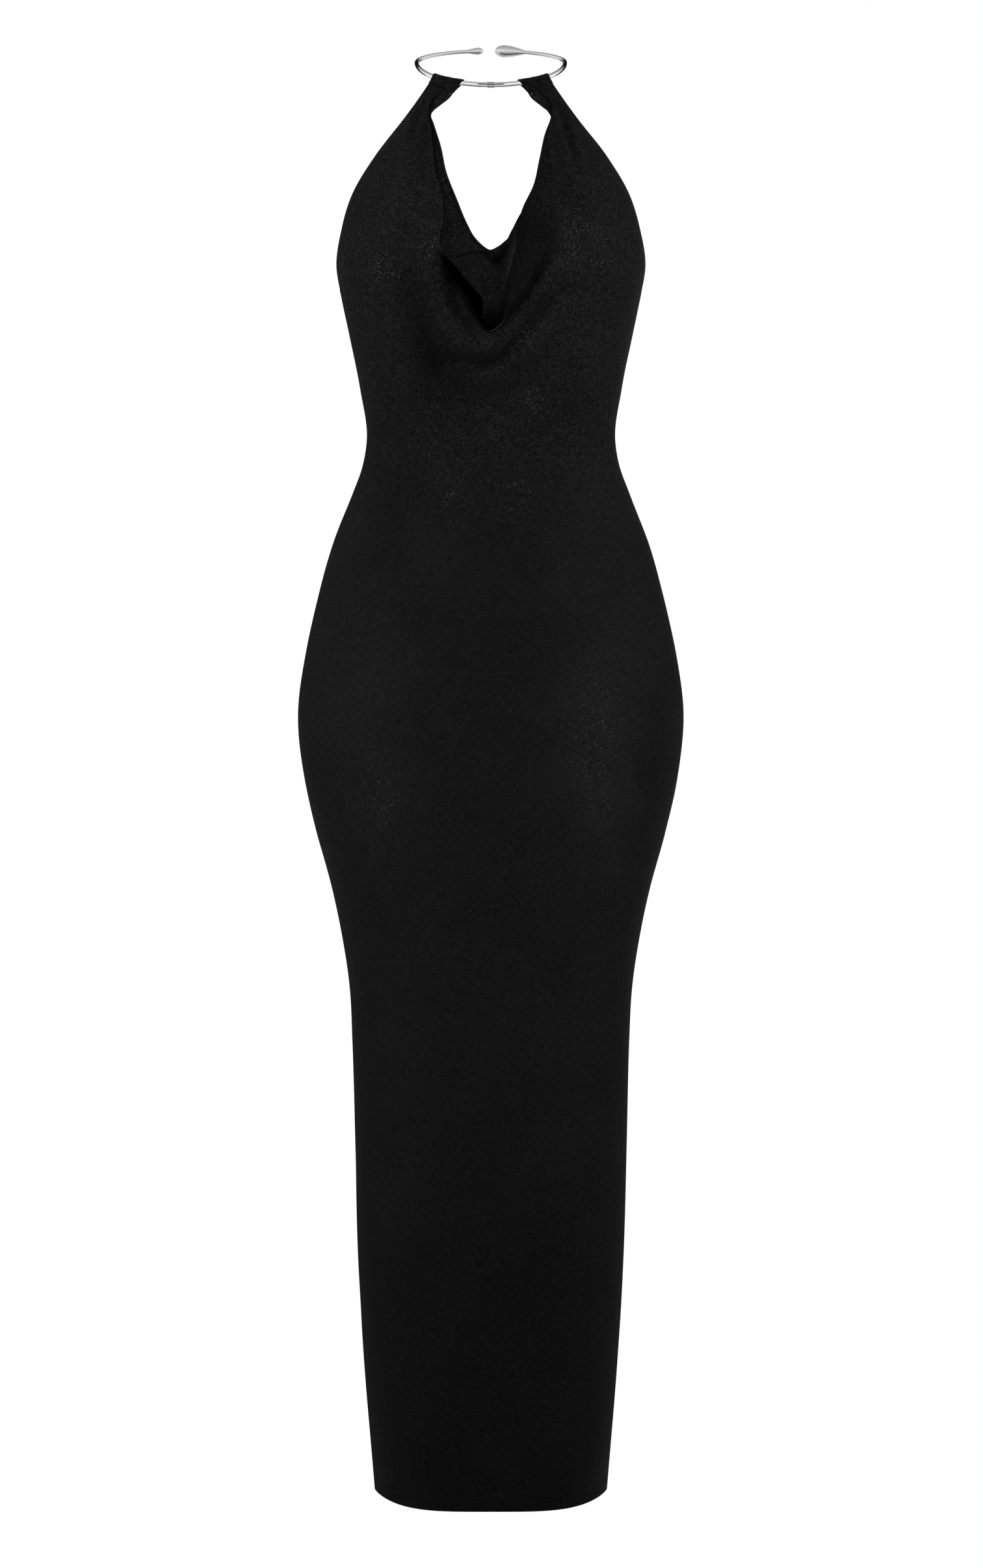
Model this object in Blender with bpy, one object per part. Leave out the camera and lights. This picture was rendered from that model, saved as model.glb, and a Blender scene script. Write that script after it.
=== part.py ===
# A long halter dress in black jersey, in the shape that it has when it is worn, with nobody in it.
# It hangs from an open neck ring of round steel bar, whose two ends face each other behind the neck
# with a gap between them, each with a drop on it. Each shoulder end of the front is folded round the
# ring and sewn down. The front drapes in a cowl, the back is low, and the skirt is a plain tube.
# The frame: the front faces -Y, the left side of the view is -X, and the origin is the middle of the
# ring at its widest, where the wearer's neck holds it up. All the sizes below are in millimetres.
import math
from collections import namedtuple

import bmesh
import bpy
import numpy as np

MM = 0.001

CLOTH = 1.4            # the jersey wall
SEAM_GAP = 0.3         # between two pieces that are sewn together
UNDERARM = -220.0      # height where the side seam starts
HEM = -1403.0
BACK_LOW_POINT = -326.0

# The outline, from the shoulder ends down to the hem. edge is how far the cloth's side edge lies in
# front of the neck's middle: above the underarm that is the armhole edge, below it the side seam.
# front and back are the depths at the middle. flat squares the section's middle, and crease is how
# sharply it turns at the side: 0.42 is a round side, 0.8 the pressed side of a hanging hem.
Section = namedtuple("Section", "height half_width edge front back flat crease")
SECTIONS = [
    Section(-24.0, 55.0, 50.0, 60.0, 97.0, 2.2, 0.45),
    Section(-38.0, 64.0, 50.0, 66.0, 97.0, 2.2, 0.45),
    Section(-50.0, 72.3, 49.5, 71.5, 97.0, 2.2, 0.45),
    Section(-63.0, 82.0, 47.0, 77.0, 97.0, 2.3, 0.44),
    Section(-100.0, 112.0, 39.0, 92.0, 97.0, 2.4, 0.42),
    Section(-135.0, 134.5, 27.0, 105.0, 97.0, 2.5, 0.41),
    Section(-171.0, 146.6, 14.0, 115.0, 97.0, 2.5, 0.40),
    Section(-202.0, 151.5, 4.0, 121.0, 97.0, 2.5, 0.40),
    Section(-220.0, 149.2, 0.0, 121.5, 97.0, 2.5, 0.40),
    Section(-271.0, 138.8, 0.0, 114.0, 97.0, 2.4, 0.42),
    Section(-322.0, 128.7, 0.0, 101.0, 90.0, 2.3, 0.44),
    Section(-372.0, 122.2, 0.0, 91.0, 82.0, 2.2, 0.46),
    Section(-399.0, 126.7, 0.0, 91.5, 86.0, 2.2, 0.46),
    Section(-425.0, 136.3, 0.0, 93.0, 93.0, 2.2, 0.46),
    Section(-476.0, 156.2, 0.0, 98.0, 108.0, 2.2, 0.46),
    Section(-527.0, 170.2, 0.0, 102.0, 119.0, 2.3, 0.46),
    Section(-579.0, 181.8, 0.0, 104.5, 125.0, 2.3, 0.46),
    Section(-640.0, 189.6, 0.0, 105.0, 126.0, 2.3, 0.46),
    Section(-707.0, 183.0, 0.0, 104.5, 121.0, 2.4, 0.48),
    Section(-758.0, 171.5, 0.0, 103.5, 114.0, 2.5, 0.50),
    Section(-809.0, 157.4, 0.0, 102.0, 106.0, 2.6, 0.52),
    Section(-860.0, 146.6, 0.0, 100.5, 99.0, 2.7, 0.54),
    Section(-911.0, 138.9, 0.0, 99.0, 94.0, 2.8, 0.57),
    Section(-963.0, 136.3, 0.0, 98.5, 91.0, 2.9, 0.60),
    Section(-1065.0, 133.8, 0.0, 98.5, 88.0, 3.1, 0.66),
    Section(-1167.0, 131.2, 0.0, 99.5, 86.0, 3.3, 0.71),
    Section(-1270.0, 125.4, 0.0, 101.5, 84.5, 3.4, 0.75),
    Section(-1403.0, 114.6, 0.0, 104.5, 83.0, 3.9, 0.80),
]

# The neckline of the front, where its cloth turns in. fold is the line seen from the front, and the
# cloth rolls over it, roll wide, to an inner edge that lies depth behind the front's face. It falls
# steeply down the left, hangs in the cowl's low point, and rolls softly up the right.
Neck = namedtuple("Neck", "fold_x fold_z roll inner_x inner_z depth")
LEFT_NECKLINE = [
    Neck(-48.3, -41.6, 1.5, -47.2, -42.3, 0.3),
    Neck(-57.6, -51.5, 1.8, -56.4, -52.4, 1.0),
    Neck(-60.0, -64.0, 2.0, -58.6, -64.2, 2.3),
    Neck(-57.2, -84.6, 2.0, -55.7, -84.6, 2.5),
    Neck(-55.6, -104.0, 2.0, -54.1, -104.0, 2.5),
    Neck(-53.0, -125.0, 2.0, -51.5, -125.0, 2.5),
    Neck(-46.3, -150.0, 2.0, -44.8, -150.0, 2.6),
    Neck(-45.0, -169.7, 2.0, -43.5, -169.7, 2.8),
    Neck(-47.4, -189.2, 2.2, -45.8, -189.2, 3.0),
    Neck(-49.6, -208.6, 2.4, -47.9, -208.2, 3.5),
]
COWL_EDGE = [
    LEFT_NECKLINE[-1],
    Neck(-41.0, -231.0, 3.0, -39.6, -229.4, 4.5),
    Neck(-26.3, -252.0, 3.5, -24.9, -250.4, 5.0),
    Neck(-16.5, -269.5, 4.0, -15.0, -268.2, 5.5),
    Neck(-3.1, -282.5, 4.5, -2.6, -280.8, 6.0),
    Neck(10.6, -276.0, 5.0, 8.5, -272.5, 8.0),
    Neck(24.5, -256.0, 7.0, 14.0, -246.0, 14.0),
    Neck(42.0, -232.5, 9.0, 19.0, -222.0, 19.0),
    Neck(57.5, -209.5, 11.0, 22.5, -203.0, 23.0),
]
RIGHT_NECKLINE = [
    COWL_EDGE[-1],
    Neck(66.5, -187.1, 12.0, 25.0, -184.0, 25.0),
    Neck(67.8, -164.8, 12.0, 29.8, -160.5, 23.0),
    Neck(64.2, -141.0, 10.0, 40.4, -137.5, 17.0),
    Neck(58.6, -112.0, 7.0, 46.3, -112.0, 10.0),
    Neck(56.0, -88.0, 4.0, 51.3, -88.0, 4.5),
    Neck(59.6, -64.0, 2.0, 58.2, -64.2, 2.3),
    Neck(57.6, -51.5, 1.8, 56.4, -52.4, 1.0),
    Neck(48.3, -41.6, 1.5, 47.2, -42.3, 0.3),
]

# The cowl's facing, an inner layer that hangs from ring to ring behind the neckline. inner is its
# edge round the neck and outer the fold where it turns in, which shows inside the cowl and hides
# behind the front elsewhere. Each depth is how far that line lies behind the front's face, and tuck
# is how much deeper the cloth goes beyond the fold, so that the cowl has a dark pocket on the left.
Facing = namedtuple("Facing", "inner_x inner_z inner_depth outer_x outer_z outer_depth tuck")
FACING = [
    Facing(-38.5, -48.4, 2.0, -51.0, -39.8, 2.0, 2.0),
    Facing(-47.9, -56.3, 2.6, -60.0, -51.0, 2.4, 3.0),
    Facing(-57.6, -64.8, 4.2, -68.0, -64.2, 3.6, 4.0),
    Facing(-54.6, -76.0, 5.0, -67.0, -77.0, 4.2, 4.0),
    Facing(-47.5, -100.4, 6.0, -64.0, -102.5, 4.6, 4.0),
    Facing(-42.4, -126.3, 7.5, -61.0, -129.0, 5.0, 4.0),
    Facing(-33.0, -151.8, 10.0, -56.0, -155.0, 5.6, 4.0),
    Facing(-22.6, -177.1, 16.0, -56.0, -181.0, 6.6, 5.0),
    Facing(-15.0, -189.9, 21.0, -53.0, -203.0, 9.0, 10.0),
    Facing(0.0, -200.0, 28.0, -35.5, -217.5, 17.0, 28.0),
    Facing(14.6, -190.5, 32.0, -22.0, -231.0, 22.0, 32.0),
    Facing(20.5, -180.0, 34.0, -8.0, -247.5, 25.0, 32.0),
    Facing(28.0, -165.0, 35.0, -4.5, -262.0, 26.0, 30.0),
    Facing(38.0, -148.0, 32.0, 12.0, -276.0, 27.0, 24.0),
    Facing(46.0, -130.0, 25.0, 38.0, -258.0, 32.0, 14.0),
    Facing(50.0, -113.0, 17.0, 62.0, -222.0, 34.0, 8.0),
    Facing(54.0, -94.0, 10.0, 76.0, -180.0, 29.0, 5.0),
    Facing(57.0, -80.0, 6.5, 76.0, -130.0, 16.0, 4.0),
    Facing(57.6, -64.8, 4.2, 71.0, -84.0, 6.5, 4.0),
    Facing(47.9, -56.3, 2.6, 60.0, -52.0, 2.6, 3.0),
    Facing(38.5, -48.4, 2.0, 51.0, -39.8, 2.0, 2.0),
]

# The largest folds of the front: how far the cloth rises (or sinks) along a line, and how wide.
Fold = namedtuple("Fold", "name rise width line")
FOLDS = [
    Fold("cowl leaning forward", 11.0, 42.0, [(-38, -232), (-16, -270), (0, -281), (24, -256), (52, -216)]),
    Fold("swag under the cowl", 4.0, 9.0,
         [(-55, -222), (-46, -264), (-30, -290), (-4, -299), (22, -279), (47, -241), (64, -212)]),
    Fold("hollow on the left", -2.5, 6.5, [(-48, -236), (-36, -266), (-22, -287)]),
    Fold("trough under the swag", -4.5, 13.0,
         [(-72, -236), (-60, -281), (-40, -304), (-3, -315), (22, -303), (46, -268), (68, -244)]),
    Fold("left shoulder ridge", 2.6, 11.0, [(-71, -74), (-82, -125), (-92, -175), (-108, -216)]),
    Fold("left shoulder crease", -2.0, 5.0, [(-72, -66), (-76, -96)]),
    Fold("right shoulder crease", -2.0, 5.0, [(69, -66), (74, -86), (79, -104)]),
    Fold("right neck crease", -1.8, 4.5, [(57, -88), (62, -104), (67, -122)]),
    Fold("right shoulder ridge", 2.0, 6.5, [(61, -88), (68, -110), (74, -134)]),
]

# The neck ring: a round bar bent to an egg, wider behind the middle, and tilted down at the front.
RING_HALF_WIDTH = 72.9
RING_FRONT = 84.0
RING_BACK = 44.0
RING_TILT = math.radians(27.0)
BAR_RADIUS_FRONT = 2.35
BAR_RADIUS_BACK = 1.75
BAR_SIDES = 10
BAR_STEPS = 26
COLLAR_LENGTH = 7.0
COLLAR_RADIUS = 3.0
# Each end drop: where its blunt nose lies, its length, and its greatest radius.
Drop = namedtuple("Drop", "nose_x length radius")
SMALL_DROP = Drop(7.8, 15.5, 3.45)
LARGE_DROP = Drop(4.3, 30.3, 5.9)
BELLY_SHARE = 0.34     # the rounded nose's part of a drop's length
TAPER_STEPS = 6
NOSE_STEPS = 5
NOSE_CUT = 0.96        # where the nose ends in a small flat, as a share of its quarter turn

# The casings: the shoulder ends folded round the ring, from outer to inner end, with a sewn tail.
CASING_OUTER_X = 54.5
CASING_INNER_X = 27.8
CASING_WALL = 1.4
CASING_STEPS = 6
CASING_POINTS = 13
# A casing is round the bar up to the first angle each way, counted from the top, then narrows to
# the tail, whose lower corners lie past the second angle. WAIST is how far down it is narrowest.
WRAP_ANGLE = math.radians(120)
TAIL_ANGLE = math.radians(150)
WAIST = 0.55
WAIST_HALF_THICKNESS = 2.0
TAIL_HALF_THICKNESS = 1.7
TAIL_OUTER = (-60.8, -32.4)
TAIL_INNER = (-38.5, -47.4)

FOLD_FADE = 0.16       # the share of the turn next to a side seam where the folds die away
BACK_SCOOP = 2.2       # how much of the low back is nearly level before it climbs to the underarms
ROW_BEND = 1.6         # how late the rows bend towards the cowl on their way up

# How finely each sheet is divided.
SIDE_COLUMNS = 11
COWL_COLUMNS = 14
BACK_COLUMNS = 26
SHOULDER_ROWS = 16
ROLL_ROWS = 4
FACING_COLUMNS = 40
FACING_ROWS = 6
TUCK_ROWS = 2
TUCK_SPREAD = 0.62     # how far the tucked cloth moves outward for each millimetre that it goes in
# Heights of the rows at the side seam: their spacing from the hem up, stretch by stretch.
SEAM_STRETCHES = [(HEM, 8), (-940.0, 9), (-540.0, 9), (-330.0, 11), (UNDERARM, 0)]
# The rows start to bend towards the cowl and the low back above this height.
ROWS_BEND_FROM = -500.0

JERSEY = ("jersey", (0.012, 0.012, 0.013), 0.85, 0.0)
STEEL = ("polished_steel", (0.62, 0.62, 0.63), 0.22, 1.0)


def slopes(xs, ys):
    """The slope at each point of a table, from the parabola through it and its neighbours."""
    step = np.diff(xs)
    rise = np.diff(ys, axis=0) / (step[:, None] if ys.ndim == 2 else step)
    if ys.ndim == 2:
        step = step[:, None]
    inner = (rise[:-1] * step[1:] + rise[1:] * step[:-1]) / (step[:-1] + step[1:])
    return np.concatenate([rise[:1], inner, rise[-1:]])


def smooth(at, xs, ys):
    """The values at the places asked for, on a smooth curve through a table."""
    xs = np.asarray(xs, float)
    ys = np.asarray(ys, float)
    at = np.atleast_1d(np.clip(at, xs[0], xs[-1]))
    tangent = slopes(xs, ys)
    cell = np.clip(np.searchsorted(xs, at) - 1, 0, len(xs) - 2)
    width = xs[cell + 1] - xs[cell]
    share = (at - xs[cell]) / width
    if ys.ndim == 2:
        share = share[:, None]
        width = width[:, None]
    start, end = ys[cell], ys[cell + 1]
    leave, arrive = tangent[cell] * width, tangent[cell + 1] * width
    return (start * (1 + 2 * share) * (1 - share) ** 2 + leave * share * (1 - share) ** 2
            + end * share**2 * (3 - 2 * share) + arrive * share**2 * (share - 1))


def along(rows, count, measure=(0, 1)):
    """count + 1 evenly spaced rows on a smooth curve through the rows of a table."""
    rows = np.array(rows, float)
    place = rows[:, list(measure)]
    run = np.concatenate([[0.0], np.cumsum(np.linalg.norm(np.diff(place, axis=0), axis=1))])
    fine_run = np.linspace(0.0, run[-1], 60 * len(rows))
    fine = smooth(fine_run, run, rows)
    length = np.concatenate(
        [[0.0], np.cumsum(np.linalg.norm(np.diff(fine[:, list(measure)], axis=0), axis=1))])
    wanted = np.linspace(0.0, length[-1], count + 1)
    return np.stack([np.interp(wanted, length, fine[:, c]) for c in range(rows.shape[1])], axis=1)


HEIGHTS = [-section.height for section in SECTIONS]


def outline(name, height):
    """One size of the section table at each height."""
    return smooth(-np.asarray(height, float), HEIGHTS, [getattr(s, name) for s in SECTIONS])


def sheet_point(turn, height, face):
    """Points of the outer face. turn goes from -1 at the left side to 1 at the right side."""
    turn, height = np.broadcast_arrays(np.asarray(turn, float), np.asarray(height, float))
    shape = turn.shape
    turn, height = turn.ravel(), height.ravel()
    across = np.sin(0.5 * np.pi * turn)
    flat, crease = outline("flat", height), outline("crease", height)
    depth = np.clip(1 - np.abs(across) ** flat, 0, 1) ** crease
    if face == "front":
        edge = np.maximum(outline("edge", height), 0.0)
        y = -edge - (outline("front", height) - edge) * depth
    else:
        y = outline("back", height) * depth
    x = outline("half_width", height) * across
    return np.stack([x, y, height], axis=-1).reshape(shape + (3,))


def turn_of(x, height):
    """The turn at which the section of this height reaches x."""
    return np.arcsin(np.clip(x / outline("half_width", height), -1, 1)) * 2 / np.pi


def front_face(x, z):
    """The front's outer face above the points (x, z), before its folds."""
    return sheet_point(turn_of(x, z), z, "front")


def unit(vectors):
    return vectors / np.maximum(np.linalg.norm(vectors, axis=-1, keepdims=True), 1e-9)


def distance_to_line(x, z, line):
    """How far each point lies from a smooth line, and how far along that line its nearest point is."""
    line = along(line, 48)
    gap = np.hypot(x[..., None] - line[:, 0], z[..., None] - line[:, 1])
    nearest = gap.argmin(axis=-1)
    return gap.min(axis=-1), nearest / (len(line) - 1)


def fold_rise(x, z):
    """How far the folds lift the front's face, fading out at the two ends of each."""
    rise = np.zeros_like(x)
    for fold in FOLDS:
        gap, share = distance_to_line(x, z, fold.line)
        strength = np.sin(np.pi * (0.12 + 0.76 * share))
        rise += fold.rise * strength * np.exp(-((gap / fold.width) ** 2))
    return rise


def folded_front(turn, height):
    """The front's outer face with its folds, which die away before the side seams."""
    point = sheet_point(turn, height, "front")
    step = 0.002
    inside = np.clip(turn, -1 + step, 1 - step)
    sideways = sheet_point(inside + step, height, "front") - sheet_point(inside - step, height, "front")
    upward = sheet_point(inside, height + 0.5, "front") - sheet_point(inside, height - 0.5, "front")
    outward = unit(np.cross(sideways, upward))
    fade = np.clip((1 - np.abs(turn)) / FOLD_FADE, 0, 1)
    rise = fold_rise(point[..., 0], point[..., 2]) * fade * fade * (3 - 2 * fade)
    return point + outward * rise[..., None]


def seam_heights():
    """Heights of the rows where they meet the side seams, from the hem up to the underarm."""
    heights = []
    for (low, count), (high, _) in zip(SEAM_STRETCHES, SEAM_STRETCHES[1:]):
        heights += list(np.linspace(low, high, count, endpoint=False))
    return np.array(heights + [UNDERARM])


def bend(heights):
    """0 on the straight rows and 1 on the top one, with an even start."""
    share = np.clip((heights - ROWS_BEND_FROM) / (UNDERARM - ROWS_BEND_FROM), 0, 1)
    return share**ROW_BEND


class Sheet:
    """One face of a piece of cloth: its points, its four-sided cells, and which edges are sewn."""

    def __init__(self):
        self.points = []
        self.cells = []
        self.level = {}

    def add(self, point, level=None):
        self.points.append(point)
        if level is not None:
            self.level[len(self.points) - 1] = level
        return len(self.points) - 1

    def normals(self):
        points = np.array(self.points)
        total = np.zeros_like(points)
        for a, b, c, d in self.cells:
            face = np.cross(points[c] - points[a], points[d] - points[b])
            for corner in (a, b, c, d):
                total[corner] += face
        return unit(total)

    def wall(self, thickness):
        """The closed wall of this sheet: the face, the same face moved in, and a rim."""
        points = np.array(self.points)
        normals = self.normals()
        for index, axes in self.level.items():
            for axis in axes:
                normals[index, axis] = 0.0
        inner = points - unit(normals) * thickness
        count = len(points)
        faces = [tuple(cell) for cell in self.cells]
        faces += [tuple(count + i for i in reversed(cell)) for cell in self.cells]
        sides = {}
        for cell in self.cells:
            for a, b in zip(cell, cell[1:] + cell[:1]):
                sides[(a, b)] = True
        for a, b in sides:
            if (b, a) not in sides:
                faces.append((b, a, count + a, count + b))
        return np.concatenate([points, inner]), faces


def front_sheet():
    """The front: rows of cells from hem to cowl, two shoulders, and the neckline's roll."""
    sheet = Sheet()
    left = along(LEFT_NECKLINE, SHOULDER_ROWS)[::-1]
    cowl = along(COWL_EDGE, COWL_COLUMNS)
    right = along(RIGHT_NECKLINE, SHOULDER_ROWS)
    armhole_z = np.linspace(UNDERARM, TAIL_OUTER[1] - 1.0, 80)
    armhole = along(np.stack([outline("half_width", armhole_z), armhole_z], axis=1), SHOULDER_ROWS)
    heights = seam_heights()
    last = len(heights) - 1
    columns = 2 * SIDE_COLUMNS + COWL_COLUMNS
    first_cowl, last_cowl = SIDE_COLUMNS, SIDE_COLUMNS + COWL_COLUMNS

    # The top row of the tube, from underarm to underarm by way of the cowl's edge.
    cowl_turn = turn_of(cowl[:, 0], cowl[:, 1])
    share = np.linspace(0, 1, SIDE_COLUMNS + 1)
    left_turn = -1 + share * (cowl_turn[0] + 1)
    right_turn = 1 - (1 - cowl_turn[-1]) * (1 - share)
    top_turn = np.concatenate([left_turn, cowl_turn[1:-1], right_turn])
    left_z = UNDERARM + share * (cowl[0, 1] - UNDERARM)
    right_z = cowl[-1, 1] + share * (UNDERARM - cowl[-1, 1])
    top_z = np.concatenate([left_z, cowl[1:-1, 1], right_z])
    hem_turn = np.linspace(-1, 1, columns + 1)

    ids = {}
    pull = bend(heights)
    for j, height in enumerate(heights):
        turn = hem_turn + (top_turn - hem_turn) * pull[j] ** 0.5
        z = height + pull[j] * (top_z - UNDERARM)
        row = folded_front(turn, z)
        row[:, 1] -= SEAM_GAP / 2
        for i in range(columns + 1):
            axes = (1,) * (i in (0, columns)) + (2,) * (j == 0)
            ids[i, j] = sheet.add(row[i], axes)
    for k in range(1, SHOULDER_ROWS + 1):
        for edge, side in ((left, -1), (right, 1)):
            inner_turn = turn_of(edge[k, 0], edge[k, 1])[0]
            z = armhole[k, 1] + share * (edge[k, 1] - armhole[k, 1])
            straight = turn_of(side * armhole[k, 0] * (1 - share) + edge[k, 0] * share, z)
            level = (k / SHOULDER_ROWS) ** 2
            turn = (1 - level) * (side + share * (inner_turn - side)) + level * straight
            row = folded_front(turn, z)
            row[:, 1] -= SEAM_GAP / 2
            for n in range(SIDE_COLUMNS + 1):
                i = n if side < 0 else columns - n
                ids[i, last + k] = sheet.add(row[n])
    for j in range(last + SHOULDER_ROWS):
        for i in range(columns):
            if j < last or i < first_cowl or i >= last_cowl:
                sheet.cells.append((ids[i, j], ids[i + 1, j], ids[i + 1, j + 1], ids[i, j + 1]))

    # The neckline from the left shoulder down, through the cowl and up the right.
    neckline = [ids[first_cowl, last + k] for k in range(SHOULDER_ROWS, 0, -1)]
    neckline += [ids[i, last] for i in range(first_cowl, last_cowl + 1)]
    neckline += [ids[last_cowl, last + k] for k in range(1, SHOULDER_ROWS + 1)]
    rules = np.concatenate([left[:0:-1], cowl, right[1:]])
    normals = sheet.normals()[neckline]
    start = np.array([sheet.points[i] for i in neckline])
    run = np.gradient(start, axis=0)
    run[[0, -1]] = run[[1, -2]]
    outward = unit(np.cross(normals, unit(run)))
    control = start + outward * rules[:, 2:3]
    end = front_face(rules[:, 3], rules[:, 4])
    end[:, 1] += rules[:, 5]
    previous = neckline
    for k in range(1, ROLL_ROWS + 1):
        share = k / ROLL_ROWS
        row = start * (1 - share) ** 2 + control * (2 * share * (1 - share)) + end * share**2
        current = [sheet.add(point) for point in row]
        for q in range(len(row) - 1):
            sheet.cells.append((previous[q], previous[q + 1], current[q + 1], current[q]))
        previous = current
    return sheet


def back_sheet():
    """The back, from the hem to a low scooped edge between the two underarms."""
    sheet = Sheet()
    heights = seam_heights()
    turn = np.linspace(1, -1, BACK_COLUMNS + 1)
    scoop = np.abs(np.sin(0.5 * np.pi * turn)) ** BACK_SCOOP
    top_z = BACK_LOW_POINT + (UNDERARM - BACK_LOW_POINT) * scoop
    pull = bend(heights)
    rows = []
    for j, height in enumerate(heights):
        z = height + pull[j] * (top_z - UNDERARM)
        row = sheet_point(turn, z, "back")
        row[:, 1] += SEAM_GAP / 2
        ends = (0, BACK_COLUMNS)
        rows.append([sheet.add(p, (1,) * (i in ends) + (2,) * (j == 0)) for i, p in enumerate(row)])
    for low, high in zip(rows, rows[1:]):
        for i in range(BACK_COLUMNS):
            sheet.cells.append((low[i], low[i + 1], high[i + 1], high[i]))
    return sheet


def facing_sheet():
    """The inner layer, from its edge round the neck out to its hidden or hanging edge."""
    sheet = Sheet()
    table = along(FACING, FACING_COLUMNS, measure=(0, 1, 3, 4))
    rows = []
    flat = np.linspace(0, 1, FACING_ROWS + 1)
    turned = np.linspace(0, 1, TUCK_ROWS + 1)[1:]
    for x_in, z_in, d_in, x_out, z_out, d_out, tuck in table:
        away = unit(np.array([x_out - x_in, z_out - z_in])) * tuck * TUCK_SPREAD
        x = np.concatenate([x_in + flat * (x_out - x_in), x_out + turned * away[0]])
        z = np.concatenate([z_in + flat * (z_out - z_in), z_out + turned * away[1]])
        row = front_face(x, z)
        row[:, 1] += np.concatenate([d_in + flat * (d_out - d_in), d_out + turned * tuck])
        rows.append([sheet.add(point) for point in row])
    for a, b in zip(rows, rows[1:]):
        for i in range(FACING_ROWS + TUCK_ROWS):
            sheet.cells.append((a[i], a[i + 1], b[i + 1], b[i]))
    return sheet


def ring_point(angle):
    """A point of the bar's middle line: 0 at the front, 90 degrees at the side, 180 behind."""
    reach = np.where(np.cos(angle) > 0, RING_FRONT, RING_BACK) * np.cos(angle)
    x = RING_HALF_WIDTH * np.sin(angle)
    return np.stack([x, -reach * math.cos(RING_TILT), -reach * math.sin(RING_TILT)], axis=-1)


def ring_angle(x):
    """The angle at which the front half of the ring reaches x."""
    return math.asin(x / RING_HALF_WIDTH)


def add_object(name, points, faces, finish, smooth_angle=50.0):
    mesh = bpy.data.meshes.new(name)
    mesh.from_pydata([tuple(p) for p in np.asarray(points) * MM], [], faces)
    shape = bmesh.new()
    shape.from_mesh(mesh)
    bmesh.ops.recalc_face_normals(shape, faces=shape.faces)
    shape.to_mesh(mesh)
    shape.free()
    mesh.shade_smooth()
    mesh.set_sharp_from_angle(angle=math.radians(smooth_angle))
    piece = bpy.data.objects.new(name, mesh)
    bpy.context.collection.objects.link(piece)
    label, colour, roughness, metallic = finish
    material = bpy.data.materials.new(f"{label}_{name}")
    material.use_nodes = True
    shader = material.node_tree.nodes["Principled BSDF"]
    shader.inputs["Base Color"].default_value = (*colour, 1.0)
    shader.inputs["Roughness"].default_value = roughness
    shader.inputs["Metallic"].default_value = metallic
    mesh.materials.append(material)
    return piece


def round_bar(name, centres, radii):
    """A round bar along a line of centres, with a radius at each."""
    run = unit(np.gradient(centres, axis=0))
    up = np.array([0.0, -math.sin(RING_TILT), math.cos(RING_TILT)])
    side = unit(np.cross(run, up))
    up = np.cross(side, run)
    around = np.arange(BAR_SIDES) * 2 * np.pi / BAR_SIDES
    points = []
    for centre, radius, s, u in zip(centres, radii, side, up):
        points += [centre + radius * (math.cos(a) * s + math.sin(a) * u) for a in around]
    faces = []
    for i in range(len(centres) - 1):
        for k in range(BAR_SIDES):
            n = (k + 1) % BAR_SIDES
            low, high = i * BAR_SIDES, (i + 1) * BAR_SIDES
            faces.append((low + k, low + n, high + n, high + k))
    faces.append(tuple(range(BAR_SIDES)))
    faces.append(tuple(range(len(points) - BAR_SIDES, len(points))))
    return add_object(name, points, faces, STEEL)


def ring_half(name, side, drop):
    """Half of the neck ring, from the collar at the front to the drop at its end."""
    start = ring_angle(COLLAR_LENGTH / 2 + SEAM_GAP)
    nose = math.pi - math.asin(drop.nose_x / RING_HALF_WIDTH)
    fine = np.linspace(start, nose, 800)
    points = ring_point(fine)
    length = np.concatenate([[0.0], np.cumsum(np.linalg.norm(np.diff(points, axis=0), axis=1))])
    drop_start = length[-1] - drop.length
    belly = drop.length * BELLY_SHARE
    bar = np.linspace(0.0, drop_start, BAR_STEPS)
    taper = drop_start + (drop.length - belly) * np.linspace(0, 1, TAPER_STEPS + 1)[1:]
    nose_turn = np.linspace(0, 0.5 * np.pi * NOSE_CUT, NOSE_STEPS + 1)[1:]
    nose_run = length[-1] - belly * (1 - np.sin(nose_turn))
    places = np.concatenate([bar, taper, nose_run])

    def radius(s):
        thin = BAR_RADIUS_FRONT + (BAR_RADIUS_BACK - BAR_RADIUS_FRONT) * min(1.0, s / drop_start) ** 2
        if s <= drop_start:
            return thin
        if s <= length[-1] - belly:
            share = (s - drop_start) / (drop.length - belly)
            return thin + (drop.radius - thin) * (0.5 - 0.5 * math.cos(math.pi * share)) ** 0.9
        share = (s - length[-1] + belly) / belly
        return drop.radius * math.sqrt(max(0.0, 1 - share * share))

    angles = np.interp(places, length, fine)
    centres = ring_point(angles) * np.array([side, 1, 1])
    return round_bar(name, centres, [radius(s) for s in places])


def ring_collar():
    """The small collar in the middle of the front, where the two halves of the ring meet."""
    bevel = 0.5
    half = COLLAR_LENGTH / 2
    centre = ring_point(np.array(0.0))
    places = np.array([-half, -half + bevel, half - bevel, half])
    centres = centre + places[:, None] * np.array([1.0, 0, 0])
    radii = [COLLAR_RADIUS - bevel, COLLAR_RADIUS, COLLAR_RADIUS, COLLAR_RADIUS - bevel]
    return round_bar("ring_collar", centres, radii)


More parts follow.
